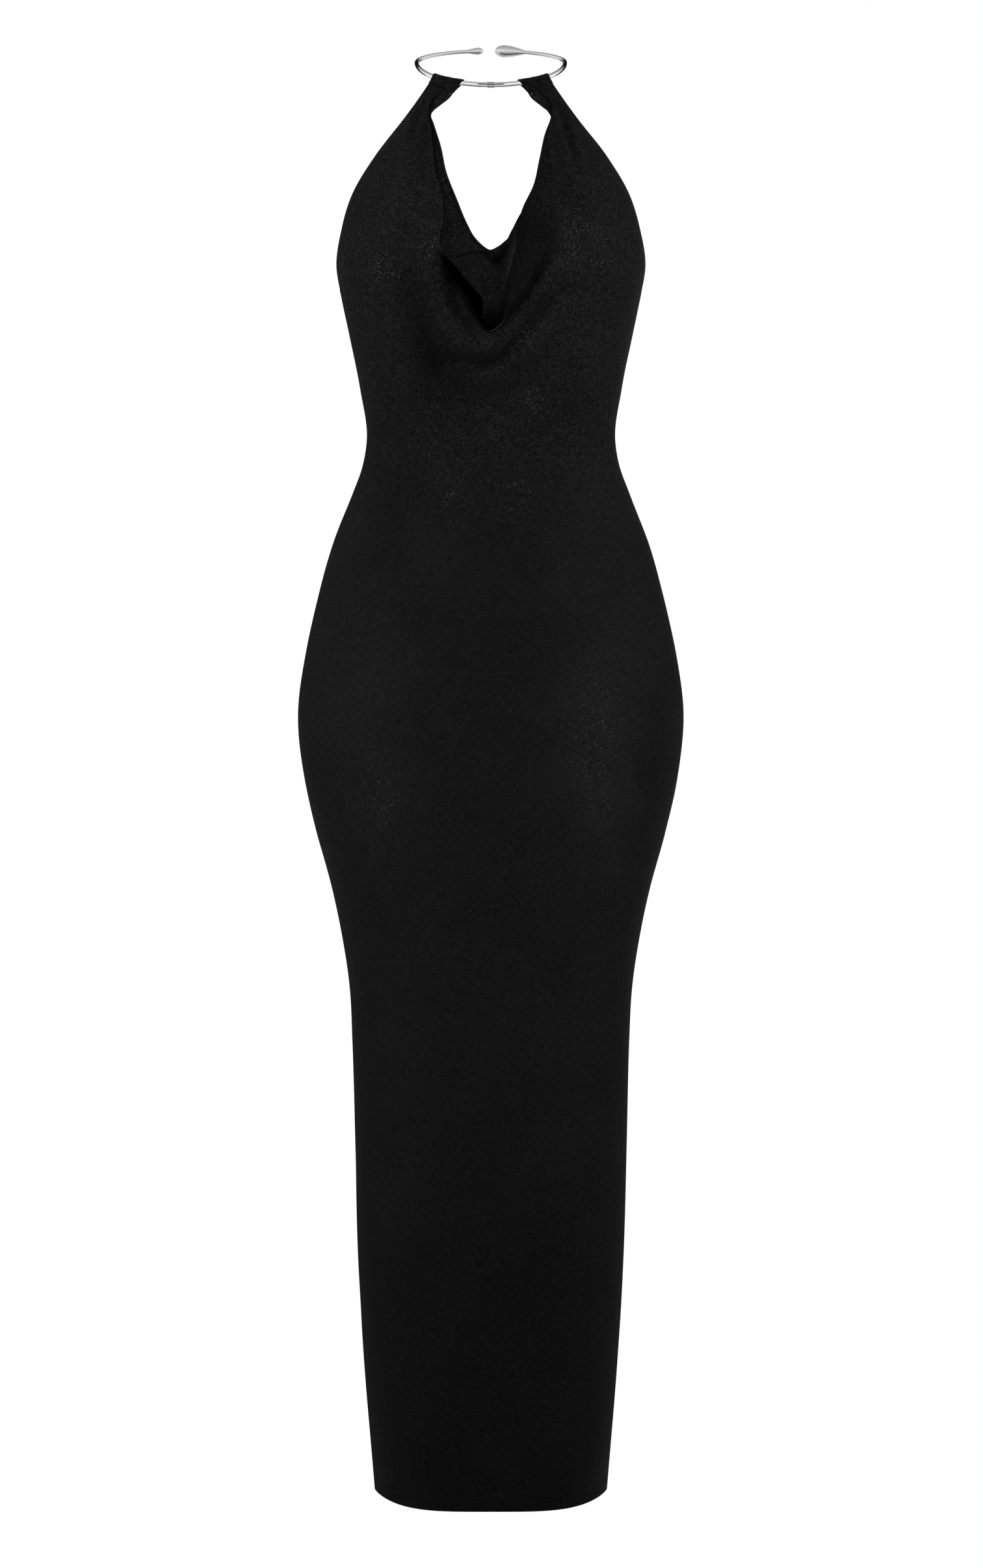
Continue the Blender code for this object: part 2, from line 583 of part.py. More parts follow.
def casing(name, side):
    """A shoulder end folded round the bar, and its tail, sewn flat under the bar."""
    angles = np.linspace(ring_angle(CASING_OUTER_X), ring_angle(CASING_INNER_X), CASING_STEPS + 1)
    centres = ring_point(angles) * np.array([-1, 1, 1])
    share = np.linspace(0, 1, CASING_STEPS + 1)[:, None]
    tail_ends = np.array([TAIL_OUTER, TAIL_INNER])
    tail = tail_ends[0] + share * (tail_ends[1] - tail_ends[0])
    bottom = front_face(tail[:, 0], tail[:, 1])
    bottom[:, 1] += TAIL_HALF_THICKNESS
    run = unit(np.gradient(centres, axis=0))
    fall = bottom - centres
    down = unit(fall - run * np.sum(fall * run, axis=1, keepdims=True))
    out = unit(np.cross(run, down))
    if out[0, 1] > 0:
        out = -out
    hole = BAR_RADIUS_FRONT + SEAM_GAP
    shell = hole + CASING_WALL
    points = []
    for c in range(CASING_STEPS + 1):
        outer, inner = [], []
        for k in range(CASING_POINTS):
            around = 2 * math.pi * k / CASING_POINTS
            spoke = -math.cos(around) * down[c] + math.sin(around) * out[c]
            inner.append(centres[c] + hole * spoke)
            turned = min(around, 2 * math.pi - around)
            which = math.copysign(1.0, math.sin(around))
            if turned < WRAP_ANGLE:
                outer.append(centres[c] + shell * spoke)
            elif turned < TAIL_ANGLE:
                waist = centres[c] + WAIST * fall[c]
                outer.append(waist + which * WAIST_HALF_THICKNESS * out[c])
            else:
                outer.append(bottom[c] + which * TAIL_HALF_THICKNESS * out[c])
        points += outer + inner
    faces = []
    size = 2 * CASING_POINTS
    for k in range(CASING_POINTS):
        n = (k + 1) % CASING_POINTS
        for c in range(CASING_STEPS):
            low, high = c * size, (c + 1) * size
            faces.append((low + k, low + n, high + n, high + k))
            inner_low, inner_high = low + CASING_POINTS, high + CASING_POINTS
            faces.append((inner_low + n, inner_low + k, inner_high + k, inner_high + n))
        for base in (0, CASING_STEPS * size):
            faces.append((base + k, base + n, base + CASING_POINTS + n, base + CASING_POINTS + k))
    points = np.array(points) * np.array([-side, 1, 1])
    return add_object(name, points, faces, JERSEY)


def main():
    for old in list(bpy.data.objects):
        bpy.data.objects.remove(old, do_unlink=True)
    add_object("front", *front_sheet().wall(CLOTH), JERSEY)
    add_object("back", *back_sheet().wall(CLOTH), JERSEY)
    add_object("cowl_facing", *facing_sheet().wall(CLOTH), JERSEY)
    casing("casing_left", -1)
    casing("casing_right", 1)
    ring_half("ring_left", -1, SMALL_DROP)
    ring_half("ring_right", 1, LARGE_DROP)
    ring_collar()


main()
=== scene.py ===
# A long cowl-necked dress in black jersey, filled out with nobody in it, on an open steel neck ring.
# The sizes are in millimetres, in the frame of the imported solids: the front faces -Y, the left side
# of the view is -X, and the origin is the middle of the neck ring.
import math
from collections import namedtuple

import bpy
import numpy as np
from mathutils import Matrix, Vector


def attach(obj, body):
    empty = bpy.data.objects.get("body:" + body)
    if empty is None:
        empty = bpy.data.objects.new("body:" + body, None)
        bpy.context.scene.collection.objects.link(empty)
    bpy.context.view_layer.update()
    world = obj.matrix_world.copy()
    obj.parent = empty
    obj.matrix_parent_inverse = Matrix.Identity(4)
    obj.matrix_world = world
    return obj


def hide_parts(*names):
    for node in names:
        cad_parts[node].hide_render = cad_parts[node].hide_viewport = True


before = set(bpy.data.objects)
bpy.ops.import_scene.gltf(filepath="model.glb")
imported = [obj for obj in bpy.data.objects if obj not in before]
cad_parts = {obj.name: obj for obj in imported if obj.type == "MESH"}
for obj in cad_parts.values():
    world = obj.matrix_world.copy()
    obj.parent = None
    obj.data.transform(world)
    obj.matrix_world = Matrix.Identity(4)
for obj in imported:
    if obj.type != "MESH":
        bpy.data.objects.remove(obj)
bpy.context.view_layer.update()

MM = 0.001

JERSEY_WALL = 1.1      # the cloth, a little thinner than its solid
UNDERARM = -220.0
HEM = -1403.0
BACK_LOW_POINT = -326.0

# The outline, from the shoulder ends down to the hem. edge is how far the cloth's side edge lies in
# front of the neck's middle: above the underarm that is the armhole edge, below it the side seam.
# front and back are the depths at the middle. flat squares the section's middle, and crease is how
# sharply it turns at the side: 0.42 is a round side, 0.8 the pressed side of a hanging hem.
Section = namedtuple("Section", "height half_width edge front back flat crease")
SECTIONS = [
    Section(-24.0, 55.0, 50.0, 60.0, 97.0, 2.2, 0.45),
    Section(-38.0, 64.0, 50.0, 66.0, 97.0, 2.2, 0.45),
    Section(-50.0, 72.3, 49.5, 71.5, 97.0, 2.2, 0.45),
    Section(-63.0, 82.0, 47.0, 77.0, 97.0, 2.3, 0.44),
    Section(-100.0, 112.0, 39.0, 92.0, 97.0, 2.4, 0.42),
    Section(-135.0, 134.5, 27.0, 105.0, 97.0, 2.5, 0.41),
    Section(-171.0, 146.6, 14.0, 115.0, 97.0, 2.5, 0.40),
    Section(-202.0, 151.5, 4.0, 121.0, 97.0, 2.5, 0.40),
    Section(-220.0, 149.2, 0.0, 121.5, 97.0, 2.5, 0.40),
    Section(-271.0, 138.8, 0.0, 114.0, 97.0, 2.4, 0.42),
    Section(-322.0, 128.7, 0.0, 101.0, 90.0, 2.3, 0.44),
    Section(-372.0, 122.2, 0.0, 91.0, 82.0, 2.2, 0.46),
    Section(-399.0, 126.7, 0.0, 91.5, 86.0, 2.2, 0.46),
    Section(-425.0, 136.3, 0.0, 93.0, 93.0, 2.2, 0.46),
    Section(-476.0, 156.2, 0.0, 98.0, 108.0, 2.2, 0.46),
    Section(-527.0, 170.2, 0.0, 102.0, 119.0, 2.3, 0.46),
    Section(-579.0, 181.8, 0.0, 104.5, 125.0, 2.3, 0.46),
    Section(-640.0, 189.6, 0.0, 105.0, 126.0, 2.3, 0.46),
    Section(-707.0, 183.0, 0.0, 104.5, 121.0, 2.4, 0.48),
    Section(-758.0, 171.5, 0.0, 103.5, 114.0, 2.5, 0.50),
    Section(-809.0, 157.4, 0.0, 102.0, 106.0, 2.6, 0.52),
    Section(-860.0, 146.6, 0.0, 100.5, 99.0, 2.7, 0.54),
    Section(-911.0, 138.9, 0.0, 99.0, 94.0, 2.8, 0.57),
    Section(-963.0, 136.3, 0.0, 98.5, 91.0, 2.9, 0.60),
    Section(-1065.0, 133.8, 0.0, 98.5, 88.0, 3.1, 0.66),
    Section(-1167.0, 131.2, 0.0, 99.5, 86.0, 3.3, 0.71),
    Section(-1270.0, 125.4, 0.0, 101.5, 84.5, 3.4, 0.75),
    Section(-1403.0, 114.6, 0.0, 104.5, 83.0, 3.9, 0.80),
]

# The neckline of the front, where its cloth turns in. fold is the line seen from the front, and the
# cloth rolls over it, roll wide, to an inner edge that lies depth behind the front's face.
Neck = namedtuple("Neck", "fold_x fold_z roll inner_x inner_z depth")
LEFT_NECKLINE = [
    Neck(-46.5, -38.9, 1.5, -45.4, -39.6, 0.3),
    Neck(-48.3, -41.6, 1.5, -47.2, -42.3, 0.3),
    Neck(-57.6, -51.5, 1.8, -56.4, -52.4, 1.0),
    Neck(-60.0, -64.0, 2.0, -58.6, -64.2, 2.3),
    Neck(-57.2, -84.6, 2.0, -55.7, -84.6, 2.5),
    Neck(-55.6, -104.0, 2.0, -54.1, -104.0, 2.5),
    Neck(-53.0, -125.0, 2.0, -51.5, -125.0, 2.5),
    Neck(-46.3, -150.0, 2.0, -44.8, -150.0, 2.6),
    Neck(-45.0, -169.7, 2.0, -43.5, -169.7, 2.8),
    Neck(-47.4, -189.2, 2.2, -45.8, -189.2, 3.0),
    Neck(-49.6, -208.6, 2.4, -47.9, -208.2, 3.5),
]
COWL_EDGE = [
    LEFT_NECKLINE[-1],
    Neck(-39.2, -229.8, 3.0, -37.8, -228.2, 4.5),
    Neck(-24.0, -250.6, 3.5, -22.6, -249.0, 5.0),
    Neck(-14.6, -268.2, 4.0, -13.1, -266.9, 5.5),
    Neck(-2.6, -281.6, 4.5, -2.1, -279.9, 6.0),
    Neck(10.6, -276.0, 5.0, 8.5, -272.5, 8.0),
    Neck(24.5, -256.0, 7.0, 14.0, -246.0, 14.0),
    Neck(42.0, -232.5, 9.0, 19.0, -222.0, 19.0),
    Neck(57.5, -209.5, 11.0, 22.5, -203.0, 23.0),
]
RIGHT_NECKLINE = [
    COWL_EDGE[-1],
    Neck(66.5, -187.1, 12.0, 25.0, -184.0, 25.0),
    Neck(67.8, -164.8, 12.0, 29.8, -160.5, 23.0),
    Neck(64.2, -141.0, 10.0, 40.4, -137.5, 17.0),
    Neck(58.6, -112.0, 7.0, 46.3, -112.0, 10.0),
    Neck(56.0, -88.0, 4.0, 51.3, -88.0, 4.5),
    Neck(59.6, -64.0, 2.0, 58.2, -64.2, 2.3),
    Neck(57.6, -51.5, 1.8, 56.4, -52.4, 1.0),
    Neck(48.3, -41.6, 1.5, 47.2, -42.3, 0.3),
    Neck(46.5, -38.9, 1.5, 45.4, -39.6, 0.3),
]

# The cowl's facing, an inner layer that hangs from ring to ring behind the neckline. inner is its
# edge round the neck and outer the fold where it turns in. Each depth is how far that line lies
# behind the front's face, and tuck is how much deeper the cloth goes beyond the fold.
Facing = namedtuple("Facing", "inner_x inner_z inner_depth outer_x outer_z outer_depth tuck")
FACING = [
    Facing(-36.2, -44.6, 1.3, -48.6, -34.6, 1.3, 1.0),
    Facing(-38.5, -48.4, 1.3, -51.0, -39.0, 1.3, 1.0),
    Facing(-47.9, -56.3, 2.6, -60.0, -51.0, 2.6, 3.0),
    Facing(-57.6, -64.8, 4.2, -68.0, -64.2, 3.6, 4.0),
    Facing(-54.6, -76.0, 5.0, -67.0, -77.0, 4.2, 4.0),
    Facing(-47.5, -100.4, 6.0, -64.0, -102.5, 4.6, 4.0),
    Facing(-42.4, -126.3, 7.5, -61.0, -129.0, 5.0, 4.0),
    Facing(-33.0, -151.8, 10.0, -56.0, -155.0, 5.6, 4.0),
    Facing(-22.6, -177.1, 16.0, -56.0, -181.0, 6.6, 5.0),
    Facing(-15.0, -189.9, 21.0, -53.0, -200.5, 9.0, 10.0),
    Facing(0.0, -200.0, 28.0, -35.5, -215.0, 17.0, 28.0),
    Facing(14.6, -190.5, 32.0, -22.0, -231.0, 22.0, 32.0),
    Facing(20.5, -180.0, 32.5, -8.0, -247.5, 25.0, 32.0),
    Facing(28.0, -165.0, 31.0, -8.0, -266.0, 26.0, 30.0),
    Facing(38.0, -148.0, 28.0, 9.0, -281.0, 27.0, 24.0),
    Facing(46.0, -130.0, 23.0, 38.0, -258.0, 32.0, 14.0),
    Facing(50.0, -113.0, 17.0, 62.0, -222.0, 34.0, 8.0),
    Facing(54.0, -94.0, 10.0, 76.0, -180.0, 29.0, 5.0),
    Facing(57.0, -80.0, 6.5, 76.0, -130.0, 16.0, 4.0),
    Facing(57.6, -64.8, 4.2, 71.0, -84.0, 6.5, 4.0),
    Facing(47.9, -56.3, 2.6, 60.0, -52.0, 2.6, 3.0),
    Facing(38.5, -48.4, 1.3, 51.0, -39.0, 1.3, 1.0),
    Facing(36.2, -44.6, 1.3, 48.6, -34.6, 1.3, 1.0),
]

# Folds: how far the cloth rises (or sinks) along a line of (x, z), how wide, and the shade painted
# into the knit's colour there: lighter for a painted highlight on a ridge, darker for painted shade in a
# hollow.
Fold = namedtuple("Fold", "name rise width shade line")
FRONT_FOLDS = [
    Fold("cowl leaning forward", 11.0, 42.0, 0.0,
         [(-38, -232), (-16, -270), (0, -281), (24, -256), (52, -216)]),
    # Painted shade only, with no rise: under the cowl and, in the next fold, on the left.
    Fold("painted shadow under the cowl", 0.0, 18.0, -0.08,
         [(-60, -236), (-44, -284), (-6, -306), (34, -276), (62, -232)]),
    Fold("painted shade on the left", 0.0, 24.0, -0.32,
         [(-78, -196), (-73, -236), (-67, -268), (-62, -304), (-52, -350)]),
    Fold("swag under the cowl", 4.5, 8.0, 0.14,
         [(-55, -222), (-46, -264), (-30, -290), (-4, -297), (22, -277), (47, -241), (64, -212)]),
    Fold("hollow on the left", -3.4, 6.5, -0.55, [(-48, -216), (-39, -244), (-29, -264), (-14, -284)]),
    # Painted shade only, with no rise, under the swag.
    Fold("painted shade under the swag", 0.0, 13.0, -0.32,
         [(-74, -296), (-54, -316), (-32, -324), (-4, -328)]),
    Fold("edge of the pocket", -1.4, 4.4, -0.66,
         [(-50, -205), (-39.2, -229.8), (-24, -250.6), (-14.6, -268.2), (0, -282)]),
    # Painted shade only, with no rise: a band and a dark crease line along the soft roll.
    Fold("painted shadow band of the soft roll", 0.0, 5.5, -0.50,
         [(4, -281), (24.5, -256), (42, -232.5), (54, -214), (62, -192)]),
    Fold("painted crease shade of the soft roll", 0.0, 2.6, -0.34,
         [(8, -277), (26, -254.5), (44, -229), (53.4, -212), (60, -196)]),
    Fold("trough under the swag", -5.0, 9.0, -0.24,
         [(-68, -244), (-59, -284), (-46, -303), (-24, -307),
          (0, -308), (23, -279), (46, -252), (60, -236)]),
    Fold("trough on the right", -1.4, 7.0, -0.36,
         [(-4, -309), (14, -299), (33, -277), (47, -258), (62, -243), (98, -230)]),
    # Painted shade only, with no rise, on the right of the bust.
    Fold("painted shade on the right of the bust", 0.0, 20.0, -0.14, [(76, -144), (84, -176), (90, -214)]),
    Fold("second swag", 2.6, 9.0, 0.12, [(74, -222), (58, -256), (30, -294), (-10, -326), (-52, -324)]),
    Fold("trough under the second swag", -1.8, 9.0, -0.07,
         [(86, -240), (62, -290), (24, -330), (-30, -352)]),
    Fold("left swag", 1.8, 10.0, 0.06, [(-98, -226), (-86, -284), (-60, -330)]),
    Fold("left trough", -1.4, 9.0, -0.05, [(-84, -218), (-74, -280), (-52, -318)]),
    # Painted shade only, with no rise, by the soft crest on the right.
    Fold("painted shade by the soft crest on the right", 0.0, 8.0, -0.08, [(64, -194), (68, -176), (66, -150), (60, -112)]),
    Fold("left shoulder ridge", 4.0, 9.0, 0.08, [(-71, -74), (-82, -125), (-92, -175), (-108, -216)]),
    Fold("left shoulder crease", -3.4, 4.2, -0.22, [(-68, -58), (-73, -80), (-77, -100)]),
    Fold("left inner strap crease", -1.8, 5.0, -0.10, [(-64, -66), (-63, -96), (-60, -130)]),
    Fold("right shoulder crease", -3.6, 4.0, -0.26, [(66, -58), (73, -80), (78, -98), (83, -116)]),
    Fold("right shoulder outer ridge", 2.4, 5.0, 0.06, [(76, -70), (81, -92), (87, -118)]),
    Fold("right neck crease", -2.4, 3.8, -0.02, [(58, -84), (64, -103), (70, -124), (74, -146)]),
    Fold("right shoulder ridge", 3.4, 5.0, 0.10, [(63, -84), (69, -104), (76, -130), (82, -156)]),
    Fold("right arm fold", 1.8, 9.0, 0.05, [(92, -128), (100, -176), (104, -220)]),
    Fold("right arm hollow", -1.6, 9.0, -0.06, [(84, -148), (88, -190), (92, -226)]),
    Fold("waist crease", -1.3, 4.5, -0.08, [(52, -372), (60, -358), (70, -345)]),
    Fold("drag over the left hip", 0.9, 16.0, 0.03, [(-118, -440), (-76, -470), (-20, -486)]),
    Fold("drag over the right hip", 0.8, 15.0, 0.03, [(116, -448), (70, -484), (24, -494)]),
    # Painted shade only, with no rise, at the waist and belly; then painted highlights over the hips.
    Fold("painted shade at the left of the waist", 0.0, 34.0, -0.19, [(-92, -340), (-98, -420), (-112, -520)]),
    Fold("painted shade over the belly", 0.0, 52.0, -0.11, [(24, -400), (26, -470), (10, -560)]),
    Fold("painted highlight over the left hip", 0.0, 42.0, 0.24, [(-120, -560), (-124, -670), (-118, -760)]),
    Fold("painted highlight over the right hip", 0.0, 40.0, 0.42, [(112, -560), (98, -660), (104, -760)]),
]
BACK_FOLDS = [
    Fold("hollow of the back", -2.0, 14.0, -0.06, [(-66, -372), (-8, -388), (60, -370)]),
    Fold("swag in the small of the back", 2.2, 12.0, 0.05, [(-78, -392), (-20, -420), (66, -396)]),
    Fold("trough above the seat", -1.6, 11.0, -0.06, [(-88, -412), (-12, -446), (50, -432), (84, -412)]),
    Fold("swag above the seat", 1.4, 13.0, 0.04, [(-60, -462), (6, -474), (74, -448)]),
    Fold("left top edge falling in", -1.6, 12.0, -0.05, [(-118, -262), (-96, -290), (-60, -322)]),
    Fold("right top edge falling in", -1.2, 10.0, -0.05, [(122, -258), (92, -298), (66, -318)]),
    Fold("drag under the seat on the left", -0.9, 14.0, -0.04, [(-128, -760), (-80, -786), (-30, -790)]),
    Fold("drag under the seat on the right", -0.8, 13.0, -0.04, [(124, -772), (84, -792), (38, -802)]),
]

# Painted shade from the ring down to the hem: the knit's colour is made darker at the straps and towards
# the hem.
Tone = namedtuple("Tone", "height much")
SHADE_BY_HEIGHT = [
    Tone(0.0, 0.68), Tone(-60.0, 0.70), Tone(-130.0, 0.86), Tone(-190.0, 1.0), Tone(-560.0, 0.98),
    Tone(-720.0, 1.03), Tone(-950.0, 1.06), Tone(-1120.0, 1.0), Tone(-1180.0, 0.88), Tone(-1300.0, 0.86),
    Tone(-1403.0, 0.78),
]

# Painted glints: where bright specks are painted into the stretched knit's colour as if it caught the
# light, and how far up and down they spread.
Glint = namedtuple("Glint", "x z reach tall much")
GLINTS = [
    Glint(83.0, -190.0, 15.0, 1.3, 0.7),
    Glint(99.0, -211.0, 12.0, 1.0, 0.7),
    Glint(-106.0, -220.0, 14.0, 1.2, 0.6),
    Glint(-58.0, -203.0, 9.0, 1.2, 0.8),
    Glint(32.0, -288.0, 14.0, 1.0, 0.5),
    Glint(41.0, -340.0, 13.0, 1.2, 0.4),
    Glint(2.0, -366.0, 13.0, 1.2, 0.3),
    Glint(-34.0, -433.0, 17.0, 1.3, 0.36),
    Glint(20.0, -432.0, 19.0, 1.2, 0.40),
    Glint(100.0, -672.0, 24.0, 3.4, 0.36),
    Glint(-110.0, -724.0, 26.0, 1.5, 0.30),
    Glint(-104.0, -1382.0, 11.0, 1.2, 0.4),
    Glint(103.0, -1382.0, 11.0, 1.2, 0.4),
]


def slopes(xs, ys):
    """The slope at each point of a table, from the parabola through it and its neighbours."""
    step = np.diff(xs)
    rise = np.diff(ys, axis=0) / (step[:, None] if ys.ndim == 2 else step)
    if ys.ndim == 2:
        step = step[:, None]
    inner = (rise[:-1] * step[1:] + rise[1:] * step[:-1]) / (step[:-1] + step[1:])
    return np.concatenate([rise[:1], inner, rise[-1:]])


def smooth(at, xs, ys):
    """The values at the places asked for, on a smooth curve through a table."""
    xs = np.asarray(xs, float)
    ys = np.asarray(ys, float)
    at = np.atleast_1d(np.clip(at, xs[0], xs[-1]))
    tangent = slopes(xs, ys)
    cell = np.clip(np.searchsorted(xs, at) - 1, 0, len(xs) - 2)
    width = xs[cell + 1] - xs[cell]
    share = (at - xs[cell]) / width
    if ys.ndim == 2:
        share = share[:, None]
        width = width[:, None]
    start, end = ys[cell], ys[cell + 1]
    leave, arrive = tangent[cell] * width, tangent[cell + 1] * width
    return (start * (1 + 2 * share) * (1 - share) ** 2 + leave * share * (1 - share) ** 2
            + end * share**2 * (3 - 2 * share) + arrive * share**2 * (share - 1))


def running_length(points):
    """How far along a line each of its points lies."""
    return np.concatenate([[0.0], np.cumsum(np.linalg.norm(np.diff(points, axis=0), axis=1))])


def row_lengths(block):
    """How far along its row each point of a block lies."""
    steps = np.linalg.norm(np.diff(block, axis=1), axis=2)
    return np.concatenate([np.zeros((len(block), 1)), np.cumsum(steps, axis=1)], axis=1)


CURVE_STEPS = 60       # how finely a curve is drawn for each row of its table, before it is divided


def along(rows, count, measure=(0, 1)):
    """count + 1 evenly spaced rows on a smooth curve through the rows of a table."""
    rows = np.array(rows, float)
    run = running_length(rows[:, list(measure)])
    fine = smooth(np.linspace(0.0, run[-1], CURVE_STEPS * len(rows)), run, rows)
    length = running_length(fine[:, list(measure)])
    wanted = np.linspace(0.0, length[-1], count + 1)
    return np.stack([np.interp(wanted, length, fine[:, c]) for c in range(rows.shape[1])], axis=1)


def ramp(value, low, high):
    """0 below low, 1 above high, and a soft step between."""
    share = np.clip((np.asarray(value, float) - low) / (high - low), 0, 1)
    return share * share * (3 - 2 * share)


def bump(value, middle, width):
    """A soft bump, 1 at the middle."""
    return np.exp(-(((value - middle) / width) ** 2))


def between(start, end, share):
    """start where the share is 0, end where it is 1, and a straight change between."""
    return start + (end - start) * share


def unit(vectors):
    return vectors / np.maximum(np.linalg.norm(vectors, axis=-1, keepdims=True), 1e-9)


def grid_cells(ids):
    """Cells between neighbouring points of a block, whose rows go up and columns to the right."""
    return np.stack([ids[:-1, :-1], ids[:-1, 1:], ids[1:, 1:], ids[1:, :-1]], axis=-1).reshape(-1, 4)


HEIGHTS = [-section.height for section in SECTIONS]


def outline(name, height):
    """One size of the section table at each height."""
    height = np.asarray(height, float)
    return smooth(-height.ravel(), HEIGHTS, [getattr(s, name) for s in SECTIONS]).reshape(height.shape)


def dress_point(turn, height, face):
    """Points of the outer face. turn goes from -1 at the left side to 1 at the right side."""
    turn, height = np.broadcast_arrays(np.asarray(turn, float), np.asarray(height, float))
    across = np.sin(0.5 * np.pi * turn)
    depth = np.clip(1 - np.abs(across) ** outline("flat", height), 0, 1) ** outline("crease", height)
    if face == "front":
        edge = np.maximum(outline("edge", height), 0.0)
        y = -edge - (outline("front", height) - edge) * depth
    else:
        y = outline("back", height) * depth
    return np.stack([outline("half_width", height) * across, y, height], axis=-1)


def turn_of(x, height):
    """The turn at which the section of this height reaches x."""
    return np.arcsin(np.clip(x / outline("half_width", height), -1, 1)) * 2 / np.pi


def front_face(x, z):
    """The front's outer face above the points (x, z), before its folds."""
    return dress_point(turn_of(x, z), z, "front")


FOLD_STEPS = 60
FOLD_FADE = (0.12, 0.88)   # the part of a half wave that a fold's strength follows, from end to end
SEAM_FADE = 0.16           # the turn next to a side seam over which the folds die away


def fold_sums(folds, x, z):
    """How far the folds lift the cloth, and their shade. Each fades out at its two ends."""
    rise = np.zeros_like(x)
    shade = np.ones_like(x)
    for fold in folds:
        close = np.full(x.shape, np.inf)
        share = np.zeros(x.shape)
        for n, (line_x, line_z) in enumerate(along(fold.line, FOLD_STEPS)):
            gap = np.hypot(x - line_x, z - line_z)
            nearer = gap < close
            close = np.where(nearer, gap, close)
            share = np.where(nearer, n / FOLD_STEPS, share)
        strength = np.sin(np.pi * between(*FOLD_FADE, share)) * bump(close, 0.0, fold.width)
        rise += fold.rise * strength
        shade += fold.shade * strength
    return rise, shade


def folded(turn, height, face, folds):
    """The outer face with its folds, which die away before the side seams, and its depth of shade."""
    turn, height = np.broadcast_arrays(np.asarray(turn, float), np.asarray(height, float))
    point = dress_point(turn, height, face)
    step = 0.002
    inside = np.clip(turn, -1 + step, 1 - step)
    sideways = dress_point(inside + step, height, face) - dress_point(inside - step, height, face)
    upward = dress_point(inside, height + 0.5, face) - dress_point(inside, height - 0.5, face)
    outward = unit(np.cross(sideways, upward)) * (1 if face == "front" else -1)
    rise, shade = fold_sums(folds, point[..., 0], point[..., 2])
    return point + outward * (rise * ramp(1 - np.abs(turn), 0.0, SEAM_FADE))[..., None], shade


WAVE_LENGTHS = (95.0, 70.0, 48.0, 33.0, 24.0)   # the cloth's ripples, some of each
WAVES_OF_EACH = 3


def wander(x, z, seed):
    """Soft uneven ripples of the cloth, about 1 high, as a sum of slanted waves."""
    draw = np.random.default_rng(seed)
    total = np.zeros_like(x)
    for length in WAVE_LENGTHS:
        for _ in range(WAVES_OF_EACH):
            slant = draw.uniform(-0.9, 0.9)
            shift = draw.uniform(0, 2 * np.pi)
            wave = (x * math.cos(slant) + z * math.sin(slant) * 0.45) / length
            swell = 0.5 + 0.5 * np.sin(z / draw.uniform(90, 160) + draw.uniform(0, 6) + x / 140)
            total += swell * np.sin(2 * np.pi * wave + shift) * (length / WAVE_LENGTHS[0]) ** 0.8
    return total / WAVES_OF_EACH


